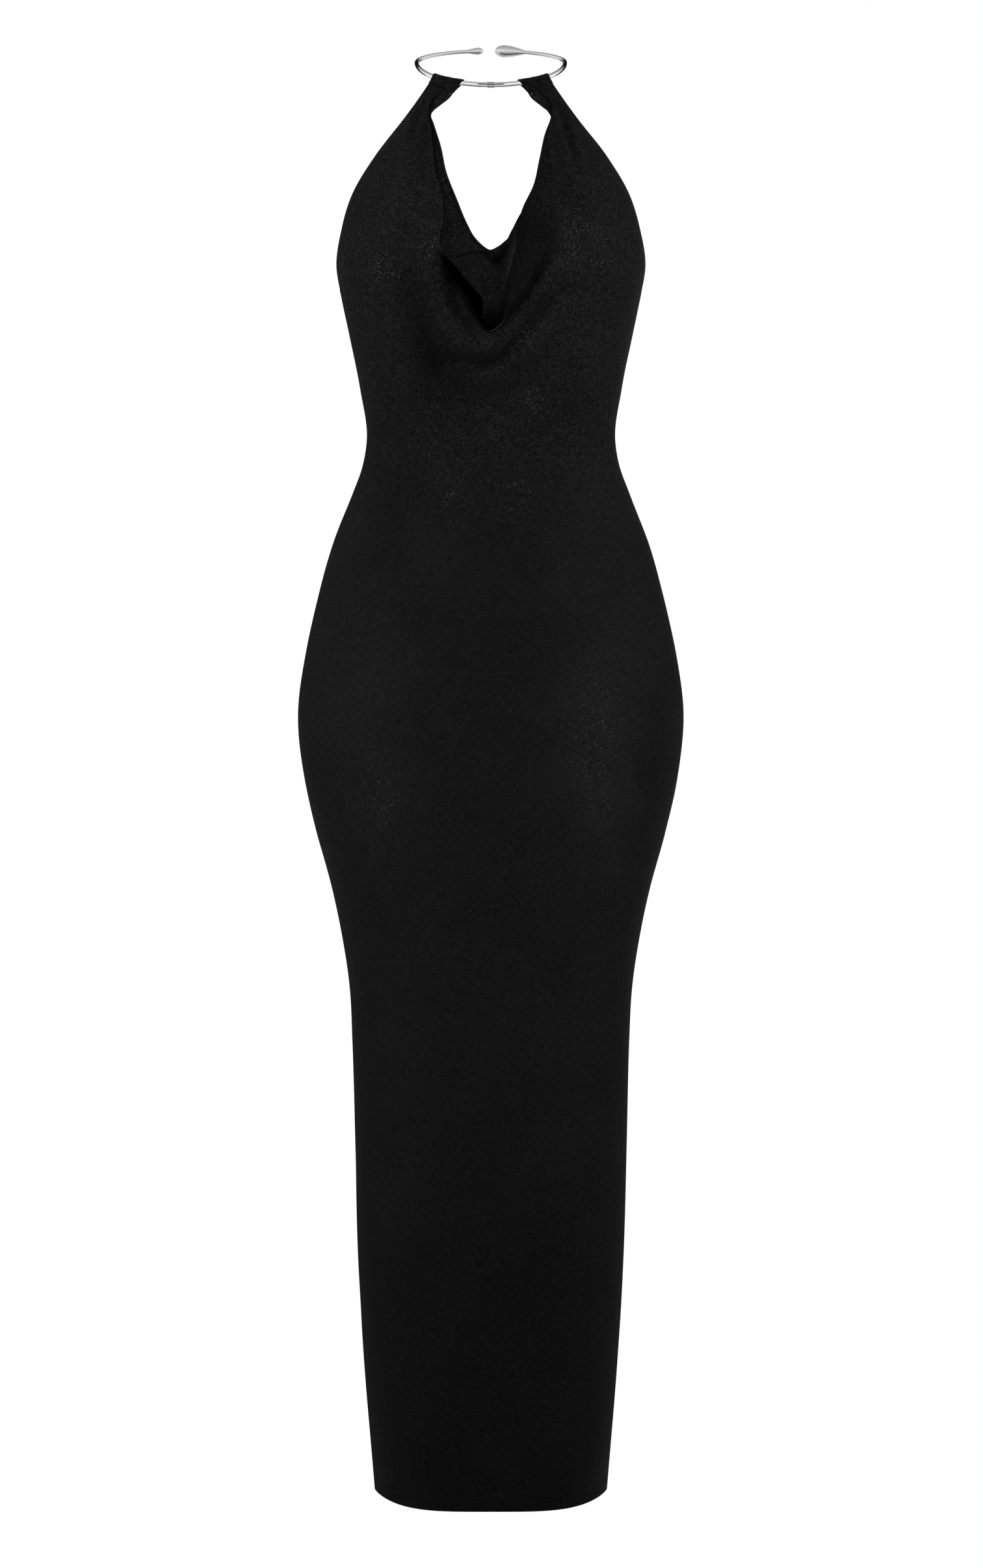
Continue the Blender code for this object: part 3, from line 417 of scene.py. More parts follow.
class Cloth:
    """A sheet of cloth put together from patches of points that share their edges."""

    def __init__(self):
        self.points = np.zeros((0, 3))
        self.place = np.zeros((0, 2))
        self.shade = np.zeros(0)
        self.cells = []

    def add(self, points, place, shade=1.0):
        """Adds points with their place on the flat cloth and their shade, and returns their numbers."""
        first = len(self.points)
        shade = np.broadcast_to(shade, points.shape[:-1])
        self.points = np.concatenate([self.points, points.reshape(-1, 3)])
        self.place = np.concatenate([self.place, place.reshape(-1, 2)])
        self.shade = np.concatenate([self.shade, shade.ravel()])
        return first + np.arange(points[..., 0].size).reshape(points.shape[:-1])

    def join(self, ids):
        """Joins the points of a block to a sheet."""
        self.cells.append(grid_cells(ids))

    def normals(self):
        cells = np.concatenate(self.cells)
        a, b, c, d = (self.points[cells[:, n]] for n in range(4))
        face = np.cross(c - a, d - b)
        total = np.zeros_like(self.points)
        for n in range(4):
            np.add.at(total, cells[:, n], face)
        return unit(total)

    def face_front(self, count=None):
        """Turns all cells over if the first points, or all, face the back."""
        if self.normals()[:count, 1].mean() > 0:
            self.cells = [cells[:, ::-1] for cells in self.cells]

    def line_from_edge(self, ids, distance):
        """A line of (points, normals) that lies this far from where the rows of a block start."""
        points, normals = self.points[ids], self.normals()[ids]
        lengths = row_lengths(points)
        found = []
        for row, length, normal in zip(points, lengths, normals):
            both = np.concatenate([row, normal], axis=1)
            found.append([np.interp(distance, length, both[:, c]) for c in range(6)])
        found = np.array(found)
        return found[:, :3], found[:, 3:]

    def dash(self, x, z, length):
        """A short level line of (points, normals) on the foremost layer at (x, z)."""
        gap = np.hypot(self.points[:, 0] - x, self.points[:, 2] - z) + 0.2 * self.points[:, 1]
        nearest = np.argmin(gap)
        point, normal = self.points[nearest], self.normals()[nearest]
        run = unit(np.cross(normal, [0.0, 0.0, 1.0]))
        return np.stack([point - run * length / 2, point + run * length / 2]), np.stack([normal, normal])

    def lift(self, rise):
        """Moves each point out by its rise."""
        self.points = self.points + self.normals() * rise[:, None]

    def piece(self, name, material, thickness):
        """The closed wall as an object: the face, the same face moved in, and a rim."""
        cells = np.concatenate(self.cells)
        count = len(self.points)
        inner = self.points - self.normals() * thickness
        sides = [np.stack([cells[:, n], cells[:, (n + 1) % 4]], axis=1) for n in range(4)]
        sides = np.concatenate(sides)
        forward = sides[:, 0] * count + sides[:, 1]
        backward = sides[:, 1] * count + sides[:, 0]
        rim = sides[~np.isin(forward, backward)]
        rim = np.stack([rim[:, 1], rim[:, 0], rim[:, 0] + count, rim[:, 1] + count], axis=1)
        points = np.concatenate([self.points, inner])
        cells = np.concatenate([cells, cells[:, ::-1] + count, rim])
        made = make_object(name, points, cells, material, np.tile(self.place, (2, 1)))
        # The painted shade, from the folds, the rolls and the height, and the painted glints go on the
        # mesh as attributes.
        x, _, z = points.T
        glint = sum(bump(np.hypot(x - g.x, (z - g.z) / g.tall), 0.0, g.reach) * g.much for g in GLINTS)
        tone = np.interp(-z, [-t.height for t in SHADE_BY_HEIGHT], [t.much for t in SHADE_BY_HEIGHT])
        for label, values in (("shade", tone * np.tile(self.shade, 2)), ("glint", glint)):
            made.data.attributes.new(label, "FLOAT", "POINT").data.foreach_set("value", values)
        return made


def make_object(name, points, cells, material, place=None, sharp=40.0):
    """A mesh object with four-sided faces, in metres, shaded smooth."""
    mesh = bpy.data.meshes.new(name)
    cells = np.asarray(cells, np.int32)
    mesh.vertices.add(len(points))
    mesh.vertices.foreach_set("co", (np.asarray(points) * MM).ravel())
    mesh.loops.add(cells.size)
    mesh.loops.foreach_set("vertex_index", cells.ravel())
    mesh.polygons.add(len(cells))
    mesh.polygons.foreach_set("loop_start", np.arange(len(cells), dtype=np.int32) * 4)
    mesh.update(calc_edges=True)
    if place is not None:
        layer = mesh.uv_layers.new(name="cloth")
        layer.data.foreach_set("uv", (place[cells.ravel()] * MM).ravel())
    mesh.shade_smooth()
    mesh.set_sharp_from_angle(angle=math.radians(sharp))
    mesh.materials.append(material)
    return set_up(name, mesh)


def set_up(name, data):
    """A new object in the scene."""
    made = bpy.data.objects.new(name, data)
    bpy.context.collection.objects.link(made)
    return made


def flat_place(turn, height):
    """Where a point of the dress lies on the flat cloth."""
    turn, height = np.broadcast_arrays(turn, height)
    return np.stack([0.56 * np.pi * turn * outline("half_width", height), height], axis=-1)


# How finely the sheets are divided.
SIDE_COLUMNS = 38
COWL_COLUMNS = 56
SHOULDER_ROWS = 84
ROLL_ROWS = 12
BACK_COLUMNS = 120
FACING_COLUMNS = 170
FACING_ROWS = 30
TUCK_ROWS = 12
ROW_STRETCHES = [(HEM, 56), (-940.0, 56), (-540.0, 48), (-330.0, 42), (UNDERARM, 0)]
ROWS_BEND_FROM = -500.0
ROW_BEND = 1.6
BACK_SCOOP = 2.2
FIRST_COLUMN = 0.3     # how narrow the column next to a side seam is, against an even one
SIDE_SHARE = 0.62      # how much of the half hem lies in the side columns

HEM_FOLD = 6.5         # the turned edges of armholes and low back, from edge to stitches
HEM_RISE = 0.35
STITCH_SINK = 0.45     # how far the stitches pull it in, and its edge rounds off
EDGE_SINK = 0.5
# Painted shade along the armhole edges, where the side lamps light them.
ARMHOLE_EDGE_SHADE = 0.3
SEAM_SINK = 0.9        # how deep the side seam lies, and how wide
SEAM_WIDTH = 1.4
VALLEY_DEPTH = 2.6     # the groove where the soft roll of the cowl turns in, and its place on the roll
VALLEY_PLACE = 0.24
VALLEY_REACH = 0.2
WIDE_FROM, WIDE_TO = 6.0, 18.0   # the depths between which the narrow roll becomes the soft wide one
ROLL_SHADE = 0.84      # painted shade of the knit inside the soft roll, high up and low down
ROLL_SHADE_LOW = 0.53
ROLL_END_DARK = 0.14   # how much more painted shade towards its inner edge
BAND_SHADE = 0.16      # how much painted shade low down, just inside the roll's crest
RIM_SHADE = 0.7        # how much painted shade darkens the narrow roll where it starts to turn in
TURN_DARK = 0.6        # and once it has turned in, below the straps and at them
TURN_DARK_STRAP = 0.2
RIGHT_LIGHT = 0.75     # how much less so on the right, where it faces the light
RIPPLE_FRONT = 0.35    # how high the slack cloth ripples, and from where down that dies away
RIPPLE_BACK = 0.4
RIPPLE_FROM = -1250.0
FRONT_SEED, BACK_SEED, CASING_SEED = 11, 23, 5   # of the ripples' random draws

STITCH_LINES = (4.2, 6.4)   # the two rows of stitches, from the edge
STITCH_PITCH = 3.0
STITCH_LENGTH = 2.3
THREAD = 0.14          # half its thickness, and the finer one of the casings
CASING_THREAD = 0.09
THREAD_RINGS = 5       # a stitch is a short bar with six sides
THREAD_SIDES = 6


def row_heights():
    """Heights of the rows where they meet the side seams, from the hem up to the underarm."""
    heights = []
    for (low, count), (high, _) in zip(ROW_STRETCHES, ROW_STRETCHES[1:]):
        heights += list(np.linspace(low, high, count, endpoint=False))
    return np.array(heights + [UNDERARM])


def row_bend(heights):
    share = np.clip((heights - ROWS_BEND_FROM) / (UNDERARM - ROWS_BEND_FROM), 0, 1)
    return share**ROW_BEND


def side_spacing(count):
    """Shares from 0 to 1 that start close together."""
    share = np.linspace(0, 1, count + 1)
    return share * (FIRST_COLUMN + (1 - FIRST_COLUMN) * share)


def turned_edge(distance):
    """The rise of a turned and stitched edge, by the distance from the edge."""
    rise = HEM_RISE * (1 - ramp(distance, HEM_FOLD - 0.8, HEM_FOLD + 0.8))
    rise -= STITCH_SINK * bump(distance, HEM_FOLD, 0.9)
    return rise - EDGE_SINK * bump(distance, 0.0, 0.8)


def seam_rise(distance):
    """The rise of the cloth next to a side seam, which draws it in."""
    return -SEAM_SINK * bump(distance, 0.0, SEAM_WIDTH)


def side_rise(distance, height):
    """The rise next to a side edge: a sewn seam below the underarm, a turned edge above it."""
    armhole = ramp(height, UNDERARM - 5, UNDERARM + 5)
    return seam_rise(distance) * (1 - armhole) + turned_edge(distance) * armhole


def roll_shade(start_shade, neck, turned, wide):
    """The painted shade of the knit round the neckline's roll, where that is narrow and where it is wide.
    """
    tight = 1 - RIGHT_LIGHT * ramp(neck.fold_x, 20, 50)
    narrow = start_shade * (1 - RIM_SHADE * tight * ramp(turned, 0.0, 0.1))
    turn_dark = between(TURN_DARK, TURN_DARK_STRAP, ramp(neck.fold_z, -92, -66))
    narrow *= 1 - turn_dark * tight * ramp(turned, 0.0, 0.35)
    inside = between(ROLL_SHADE, ROLL_SHADE_LOW, ramp(-neck.fold_z, 140, 192))
    band = BAND_SHADE * ramp(-neck.fold_z, 185, 225) * bump(turned, 0.14, 0.12)
    soft = between(start_shade, inside, ramp(turned, 0.0, 0.35)) - band
    soft *= 1 - ROLL_END_DARK * ramp(turned, 0.55, 0.9)
    return between(narrow, soft, wide)


def add_roll(cloth, neckline, neck):
    """Rolls the neckline in, by the columns of its table. Returns the numbers of the new points."""
    normals = cloth.normals()[neckline]
    start = cloth.points[neckline]
    outward = unit(np.cross(normals, unit(np.gradient(start, axis=0))))
    control = start + outward * neck.roll[:, None]
    end = front_face(neck.inner_x, neck.inner_z)
    end[:, 1] += neck.depth
    t = (np.arange(1, ROLL_ROWS + 1) / ROLL_ROWS)[:, None, None]
    roll = start * (1 - t) ** 2 + control * (2 * t * (1 - t)) + end * t**2
    turned = t[..., 0]
    wide = ramp(neck.depth, WIDE_FROM, WIDE_TO)
    roll -= normals * (VALLEY_DEPTH * wide * bump(turned, VALLEY_PLACE, VALLEY_REACH))[..., None]
    way = unit(np.gradient(cloth.place[neckline], axis=0))
    steps = np.linalg.norm(np.diff(np.concatenate([start[None], roll]), axis=0), axis=2)
    sideways = np.stack([-way[:, 1], way[:, 0]], axis=1)
    place = cloth.place[neckline] + sideways * np.cumsum(steps, axis=0)[..., None]
    ids = cloth.add(roll, place, roll_shade(cloth.shade[neckline], neck, turned, wide))
    cloth.join(np.concatenate([neckline[None, :], ids]))
    return ids


def front_cloth():
    """The front: the tube's front half, two shoulders, and the roll of the neckline."""
    cloth = Cloth()
    left = along(LEFT_NECKLINE, SHOULDER_ROWS)[::-1]
    cowl = along(COWL_EDGE, COWL_COLUMNS)
    right = along(RIGHT_NECKLINE, SHOULDER_ROWS)
    share = side_spacing(SIDE_COLUMNS)

    # The tube: the hem's columns slide towards the cowl's on the way up.
    cowl_turn = turn_of(cowl[:, 0], cowl[:, 1])
    left_turn = -1 + share * (cowl_turn[0] + 1)
    right_turn = 1 - share[::-1] * (1 - cowl_turn[-1])
    top_turn = np.concatenate([left_turn, cowl_turn[1:-1], right_turn])
    left_z = between(UNDERARM, cowl[0, 1], share)
    right_z = between(UNDERARM, cowl[-1, 1], share[::-1])
    top_z = np.concatenate([left_z, cowl[1:-1, 1], right_z])
    middle = np.linspace(SIDE_SHARE - 1, 1 - SIDE_SHARE, COWL_COLUMNS + 1)[1:-1]
    hem_turn = np.concatenate([-1 + share * SIDE_SHARE, middle, 1 - share[::-1] * SIDE_SHARE])
    heights = row_heights()
    pull = row_bend(heights)[:, None]
    turn = between(hem_turn, top_turn, pull**0.5)
    height = heights[:, None] + pull * (top_z - UNDERARM)
    tube, shade = folded(turn, height, "front", FRONT_FOLDS)
    tube_ids = cloth.add(tube, flat_place(turn, height), shade)
    cloth.join(tube_ids)
    from_left = row_lengths(tube)
    from_side = np.minimum(from_left, from_left[:, -1:] - from_left)
    rise = [side_rise(from_side, height).ravel()]

    # The shoulders, from the armhole edge to the neckline. Their ends go up inside the casings.
    armhole_z = np.linspace(UNDERARM, TAIL_OUTER[1] + 1.7, 80)
    armhole = along(np.stack([outline("half_width", armhole_z), armhole_z], axis=1), SHOULDER_ROWS)
    shoulder_ids = {}
    for edge, side in ((left, -1), (right, 1)):
        inner_turn = turn_of(edge[:, 0], edge[:, 1])[:, None]
        edge_z = between(armhole[:, 1:2], edge[:, 1:2], share)
        straight = turn_of(side * armhole[:, 0:1] * (1 - share) + edge[:, 0:1] * share, edge_z)
        level = (np.arange(SHOULDER_ROWS + 1)[:, None] / SHOULDER_ROWS) ** 2
        edge_turn = (1 - level) * between(side, inner_turn, share) + level * straight
        block, shade = (part[1:] for part in folded(edge_turn, edge_z, "front", FRONT_FOLDS))
        place = flat_place(edge_turn, edge_z)[1:]
        from_edge = row_lengths(block)
        edge_rise = side_rise(from_edge, edge_z[1:])
        # Painted shade along the armhole edge.
        shade = shade * (1 - ARMHOLE_EDGE_SHADE * bump(from_edge, 0.0, HEM_FOLD))
        if side < 0:
            new = cloth.add(block, place, shade)
            ids = np.concatenate([tube_ids[-1:, :SIDE_COLUMNS + 1], new])
        else:
            edge_rise = edge_rise[:, ::-1]
            new = cloth.add(block[:, ::-1], place[:, ::-1], shade[:, ::-1])
            ids = np.concatenate([tube_ids[-1:, -SIDE_COLUMNS - 1:], new])
        rise.append(edge_rise.ravel())
        cloth.join(ids)
        shoulder_ids[side] = ids

    # The neckline, down the left, through the cowl and up the right, and its roll.
    left_ids = shoulder_ids[-1][:0:-1, -1]
    cowl_ids = tube_ids[-1, SIDE_COLUMNS:SIDE_COLUMNS + COWL_COLUMNS + 1]
    right_ids = shoulder_ids[1][1:, 0]
    neckline = np.concatenate([left_ids, cowl_ids, right_ids])
    neck = Neck(*np.concatenate([left[:0:-1], cowl, right[1:]]).T)
    rise.append(np.zeros(add_roll(cloth, neckline, neck).size))

    x, _, z = cloth.points.T
    slack = ramp(z, HEM, RIPPLE_FROM) * (1 - 0.6 * ramp(z, -230, -90))
    cloth.lift(np.concatenate(rise) + RIPPLE_FRONT * wander(x, z, FRONT_SEED) * slack)
    lines = [cloth.line_from_edge(ids, distance) for distance in STITCH_LINES
             for ids in (shoulder_ids[-1][:-3], shoulder_ids[1][:-3, ::-1])]
    return cloth, lines


def back_cloth():
    """The back, from the hem to the low scooped edge between the two underarms."""
    cloth = Cloth()
    half = side_spacing(BACK_COLUMNS // 2)
    turn = np.concatenate([1 - half, -1 + half[::-1][1:]])
    top_z = between(BACK_LOW_POINT, UNDERARM, np.abs(np.sin(0.5 * np.pi * turn)) ** BACK_SCOOP)
    heights = row_heights()
    pull = row_bend(heights)[:, None]
    height = heights[:, None] + pull * (top_z - UNDERARM)
    block, shade = folded(turn[None, :] + 0 * height, height, "back", BACK_FOLDS)
    ids = cloth.add(block, flat_place(turn, height), shade)
    cloth.join(ids)
    from_right = row_lengths(block)
    from_side = np.minimum(from_right, from_right[:, -1:] - from_right)
    from_top = row_lengths(block[::-1].transpose(1, 0, 2)).T[::-1]
    rise = seam_rise(from_side) + turned_edge(from_top) * ramp(from_side, 2.0, 8.0)
    ripple = wander(block[..., 0], block[..., 2], BACK_SEED) * ramp(height, HEM, RIPPLE_FROM)
    cloth.lift((rise + RIPPLE_BACK * ripple).ravel())
    return cloth, [cloth.line_from_edge(ids[::-1].T, distance) for distance in STITCH_LINES]


# The facing's own relief: the lower edge of the band that crosses its left half, and its folds.
BAND_EDGE = [
    (-50.0, -206.5), (-41.6, -207.3), (-30.4, -205.5), (-19.9, -201.8), (-9.3, -201.1), (-0.6, -202.0),
]
FACING_FOLDS = [
    Fold("hollow beside the low point", -3.0, 5.0, -0.75,
         [(-6, -205), (4, -209), (9, -207), (14, -200), (22, -186)]),
    Fold("hollow under the low point", -1.0, 3.6, -0.35, [(2, -204), (9, -214), (15, -224)]),
    Fold("ridge down to the pocket", 7.0, 6.0, 0.95,
         [(28, -176), (25.4, -190), (21, -206), (17.5, -221), (13, -246), (7, -268)]),
    Fold("lit strip on the left", 0.0, 5.5, 0.55,
         [(-59, -58), (-54, -90), (-50, -112), (-44, -142), (-38, -165)]),
    Fold("crease beside the ridge", -1.8, 5.0, -0.10, [(3, -215), (-1, -232), (-4, -248)]),
    Fold("left wedge beside the strap", -2.0, 2.0, -0.85,
         [(-46.5, -36), (-51, -41), (-54.5, -46), (-57, -51.5)]),
    Fold("right wedge beside the strap", -2.0, 2.0, -0.85,
         [(46.5, -36), (51, -41), (54.5, -46), (57, -51.5)]),
    Fold("left strap crease", -0.9, 3.0, -0.08, [(-52, -98), (-49, -128), (-44, -150)]),
]
STRAP_SHADE = 1.25     # painted light on the facing's knit at the straps, and painted shade further down
FACING_SHADE = 0.74
LOW_SHADE = 0.86
TUCK_UNDER = 0.3       # how far the tuck first runs back under the fold and then spreads behind the
TUCK_SPREAD = 0.75     # front, against its depth
TUCK_DARK = 0.8        # how much painted shade where the facing turns in, on the left and at the cowl's low end
TUCK_DARK_LOW = 0.45
END_DARK = 0.5         # and all of it, down in the cowl's low end
RIM_WIDTH = 2.2        # the facing's rolled inner edge, its painted highlight, and the painted shadow beside it
RIM_RISE = 0.8
RIM_LIGHT = 0.22
RIM_SHADOW = 0.26
BAND_RISE = 1.2        # the band stands out, with a painted highlight on the lip along its lower edge and painted shade in the hollow below
LIP_RISE = 0.5
LIP_LIGHT = 0.3
HOLLOW_SINK = 0.9
HOLLOW_DARK = 0.35
BIAS = 0.7             # the facing is cut on the cross, so its knit slants by this share of x and z


def facing_relief(x, z, inner_edge):
    """How far the facing's face rises, and its painted light and shade, apart from where it is tucked in.
    """
    rise, fold_shade = fold_sums(FACING_FOLDS, x, z)
    rise *= ramp(inner_edge, 2.0, 11.0)
    rim = 1 - ramp(inner_edge, RIM_WIDTH - 0.7, RIM_WIDTH + 0.7)
    beside = bump(inner_edge, RIM_WIDTH + 0.9, 0.9)
    rise += RIM_RISE * (rim - 0.6 * beside)
    below = np.interp(x, *np.array(BAND_EDGE).T) - z
    on_band = ramp(x, -60, -50) * (1 - ramp(x, -4, 2)) * ramp(z, -214, -210)
    lip, hollow = bump(below, -0.7, 0.9), bump(below, 1.6, 1.6)
    band = BAND_RISE * (1 - ramp(below, -0.6, 0.6))
    rise += on_band * (band + LIP_RISE * lip - HOLLOW_SINK * hollow)
    shade = between(FACING_SHADE, STRAP_SHADE, ramp(z, -90, -66))
    shade += (LOW_SHADE - FACING_SHADE) * ramp(-z, 225, 250)
    shade += RIM_LIGHT * rim - RIM_SHADOW * beside + on_band * (LIP_LIGHT * lip - HOLLOW_DARK * hollow)
    return rise, shade * fold_shade


def facing_cloth():
    """The inner layer, from its edge round the neck out to where it turns in."""
    cloth = Cloth()
    table = along(FACING, FACING_COLUMNS, measure=(0, 1, 3, 4))
    x_in, z_in, d_in, x_out, z_out, d_out, tuck = (table[:, n:n + 1] for n in range(7))
    flat = np.linspace(0, 1, FACING_ROWS + 1) ** 1.3
    away = unit(np.concatenate([x_out - x_in, z_out - z_in], axis=1))
    # The tuck turns in under the fold and drops back, then spreads behind the front.
    t = (np.arange(1, TUCK_ROWS + 1) / TUCK_ROWS) ** 1.6
    back_under = TUCK_UNDER * np.sin(np.pi * np.minimum(t / 0.75, 1))
    spread = tuck * (TUCK_SPREAD * ramp(t, 0.4, 1.0) - back_under)
    x = np.concatenate([between(x_in, x_out, flat), x_out + away[:, 0:1] * spread], axis=1)
    z = np.concatenate([between(z_in, z_out, flat), z_out + away[:, 1:2] * spread], axis=1)
    drop = d_out + tuck * (1 - (1 - t) ** 2.2)
    block = front_face(x, z)
    block[..., 1] += np.concatenate([between(d_in, d_out, flat), drop], axis=1)
    rise, shade = facing_relief(x, z, row_lengths(block))
    # Painted shade where the facing tucks in, and down in the cowl's low end.
    deep = np.concatenate([np.zeros(len(flat)), t]) * ramp(tuck, 4.0, 16.0)
    tuck_dark = between(TUCK_DARK, TUCK_DARK_LOW, ramp(-z_out, 246, 268))
    shade *= (1 - tuck_dark * ramp(deep, 0.02, 0.4)) * (1 - END_DARK * ramp(-z, 248, 264))
    place = np.stack([BIAS * x + BIAS * z, BIAS * z - BIAS * x], axis=-1)
    cloth.join(cloth.add(block, place, shade))
    cloth.face_front()
    cloth.lift(rise.ravel())
    return cloth


# The neck ring: a round bar bent to an egg, wider behind the middle, and tilted down at the front.
RING_HALF_WIDTH = 72.9
RING_FRONT = 84.0
RING_BACK = 44.0
RING_TILT = math.radians(27.0)
BAR_RADIUS_FRONT = 2.35
BAR_RADIUS_BACK = 1.75
BAR_SIDES = 32
BAR_STEPS = 150
COLLAR_LENGTH = 7.0
COLLAR_RADIUS = 2.8
COLLAR_CORNER = 0.3
BAR_IN_COLLAR = 1.5
Drop = namedtuple("Drop", "nose_x length radius")
SMALL_DROP = Drop(7.8, 15.5, 3.45)
LARGE_DROP = Drop(4.3, 30.3, 5.9)
BELLY_SHARE = 0.34     # how much of a drop is its nose, and how blunt that is: 2 is a half ball
NOSE_ROUND = 2.3

# The casings: the shoulder ends folded round the ring, from outer to inner end, and sewn down.
CASING_OUTER_X = 54.5
CASING_INNER_X = 27.8
TAIL_OUTER = (-59.2, -33.2)
TAIL_INNER = (-38.3, -45.6)
TAIL_BOW = 1.6         # how far its sewn edge bows up between the two
# Painted shade on the casing's sewn lower edge, where its rim catches the light.
CASING_EDGE_SHADE = 0.5
CASING_COLUMNS = 40
CASING_ROWS = 20
CASING_TURNS = 27
CASING_EASE = 0.35     # how loosely it goes round the bar
CASING_MIDDLE = 1.25   # how far the middle of its sewn end lies behind the front's face
CASING_HALF = 2.4      # half its thickness there, with the shoulder and the facing inside
CASING_END_HALF = 1.35 # and at its inner end, where the two layers lie on each other
CASING_BEND = 2.2      # how soon its layers close in under the bar, and at its inner end
CASING_END_BEND = 5.0
CASING_EAR = 1.3       # how far the top of its inner end stands out
CASING_FLAT = 27       # its length along the ring on the flat cloth
CASING_RIPPLE = 0.25
CASING_STITCH_ROW = 3
CASING_FOLDS = [
    Fold("pucker under the bar", -0.9, 1.8, -0.45, [(-44.5, -30.5), (-45.5, -34.0), (-46.0, -37.5)]),
    Fold("ridge beside the pucker", 0.6, 2.0, 0.12, [(-50.5, -29.0), (-51.0, -36.0)]),
    Fold("sewn edge", -0.3, 0.8, -0.25,
         [(-58.4, -32.2), (-52.0, -34.8), (-44.6, -39.0), (-38.4, -44.0)]),
]


def ring_point(angle):
    """A point of the bar's middle line: 0 at the front, 90 degrees at the side, 180 behind."""
    reach = np.where(np.cos(angle) > 0, RING_FRONT, RING_BACK) * np.cos(angle)
    x = RING_HALF_WIDTH * np.sin(angle)
    return np.stack([x, -reach * math.cos(RING_TILT), -reach * math.sin(RING_TILT)], axis=-1)


def ring_angle(x):
    """The angle at which the front half of the ring reaches x."""
    return math.asin(x / RING_HALF_WIDTH)


def round_bar(name, centres, radii, material, sides=BAR_SIDES):
    """A round bar along a line of centres, with a radius at each and a small flat on each end."""
    run = unit(np.gradient(centres, axis=0))
    up = np.array([0.0, -math.sin(RING_TILT), math.cos(RING_TILT)])
    side = unit(np.cross(run, up))
    up = np.cross(side, run)
    around = np.arange(sides) * 2 * np.pi / sides
    spokes = np.cos(around)[None, :, None] * side[:, None] + np.sin(around)[None, :, None] * up[:, None]
    rings = centres[:, None] + np.asarray(radii)[:, None, None] * spokes
    points = np.concatenate([rings.reshape(-1, 3), centres[:1], centres[-1:]])
    ids = np.arange(len(centres) * sides).reshape(-1, sides)
    ids = np.concatenate([ids, ids[:, :1]], axis=1)
    first, last = len(points) - 2, len(points) - 1
    caps = []
    for k in range(0, sides, 2):
        caps.append([first, ids[0, k + 2], ids[0, k + 1], ids[0, k]])
        caps.append([last, ids[-1, k], ids[-1, k + 1], ids[-1, k + 2]])
    return make_object(name, points, np.concatenate([grid_cells(ids), caps]), material, sharp=50.0)


def ring_half(name, side, drop, material):
    """Half of the neck ring, from the collar at the front to the drop at its end."""
    start = ring_angle(COLLAR_LENGTH / 2 - BAR_IN_COLLAR)
    nose = math.pi - math.asin(drop.nose_x / RING_HALF_WIDTH)
    fine = np.linspace(start, nose, 2400)
    length = running_length(ring_point(fine))
    drop_start = length[-1] - drop.length
    belly = drop.length * BELLY_SHARE
    bar = np.linspace(0.0, drop_start, BAR_STEPS)
    taper = np.linspace(drop_start, length[-1] - belly, 26)[1:]
    nose_run = length[-1] - belly * (1 - np.sin(np.linspace(0, 0.5 * np.pi * 0.985, 22)[1:]))
    places = np.concatenate([bar, taper, nose_run])
    thin = between(BAR_RADIUS_FRONT, BAR_RADIUS_BACK, np.minimum(1.0, places / drop_start) ** 2)
    share = np.clip((places - drop_start) / (drop.length - belly), 0, 1)
    radii = between(thin, drop.radius, 0.5 * share + 0.5 * np.sin(0.5 * np.pi * share))
    in_nose = np.clip((places - length[-1] + belly) / belly, 0, 1)
    radii = np.where(in_nose > 0, drop.radius * np.sqrt(1 - in_nose**NOSE_ROUND), radii)
    centres = ring_point(np.interp(places, length, fine)) * np.array([side, 1, 1])
    return round_bar(name, centres, radii, material)


def ring_collar(material):
    """The small collar in the middle of the front, where the two halves of the ring meet."""
    edge = COLLAR_CORNER - COLLAR_LENGTH / 2
    body = COLLAR_RADIUS - COLLAR_CORNER
    turns = np.linspace(0, 0.5 * np.pi, 6)
    profile = [(edge - COLLAR_CORNER * math.cos(a), body + COLLAR_CORNER * math.sin(a)) for a in turns]
    profile += [(-x, radius) for x, radius in profile[::-1]]
    middle = ring_point(np.array(0.0))
    centres = np.array([middle + np.array([x, 0, 0]) for x, _ in profile])
    return round_bar("collar_shell", centres, [r for _, r in profile], material)


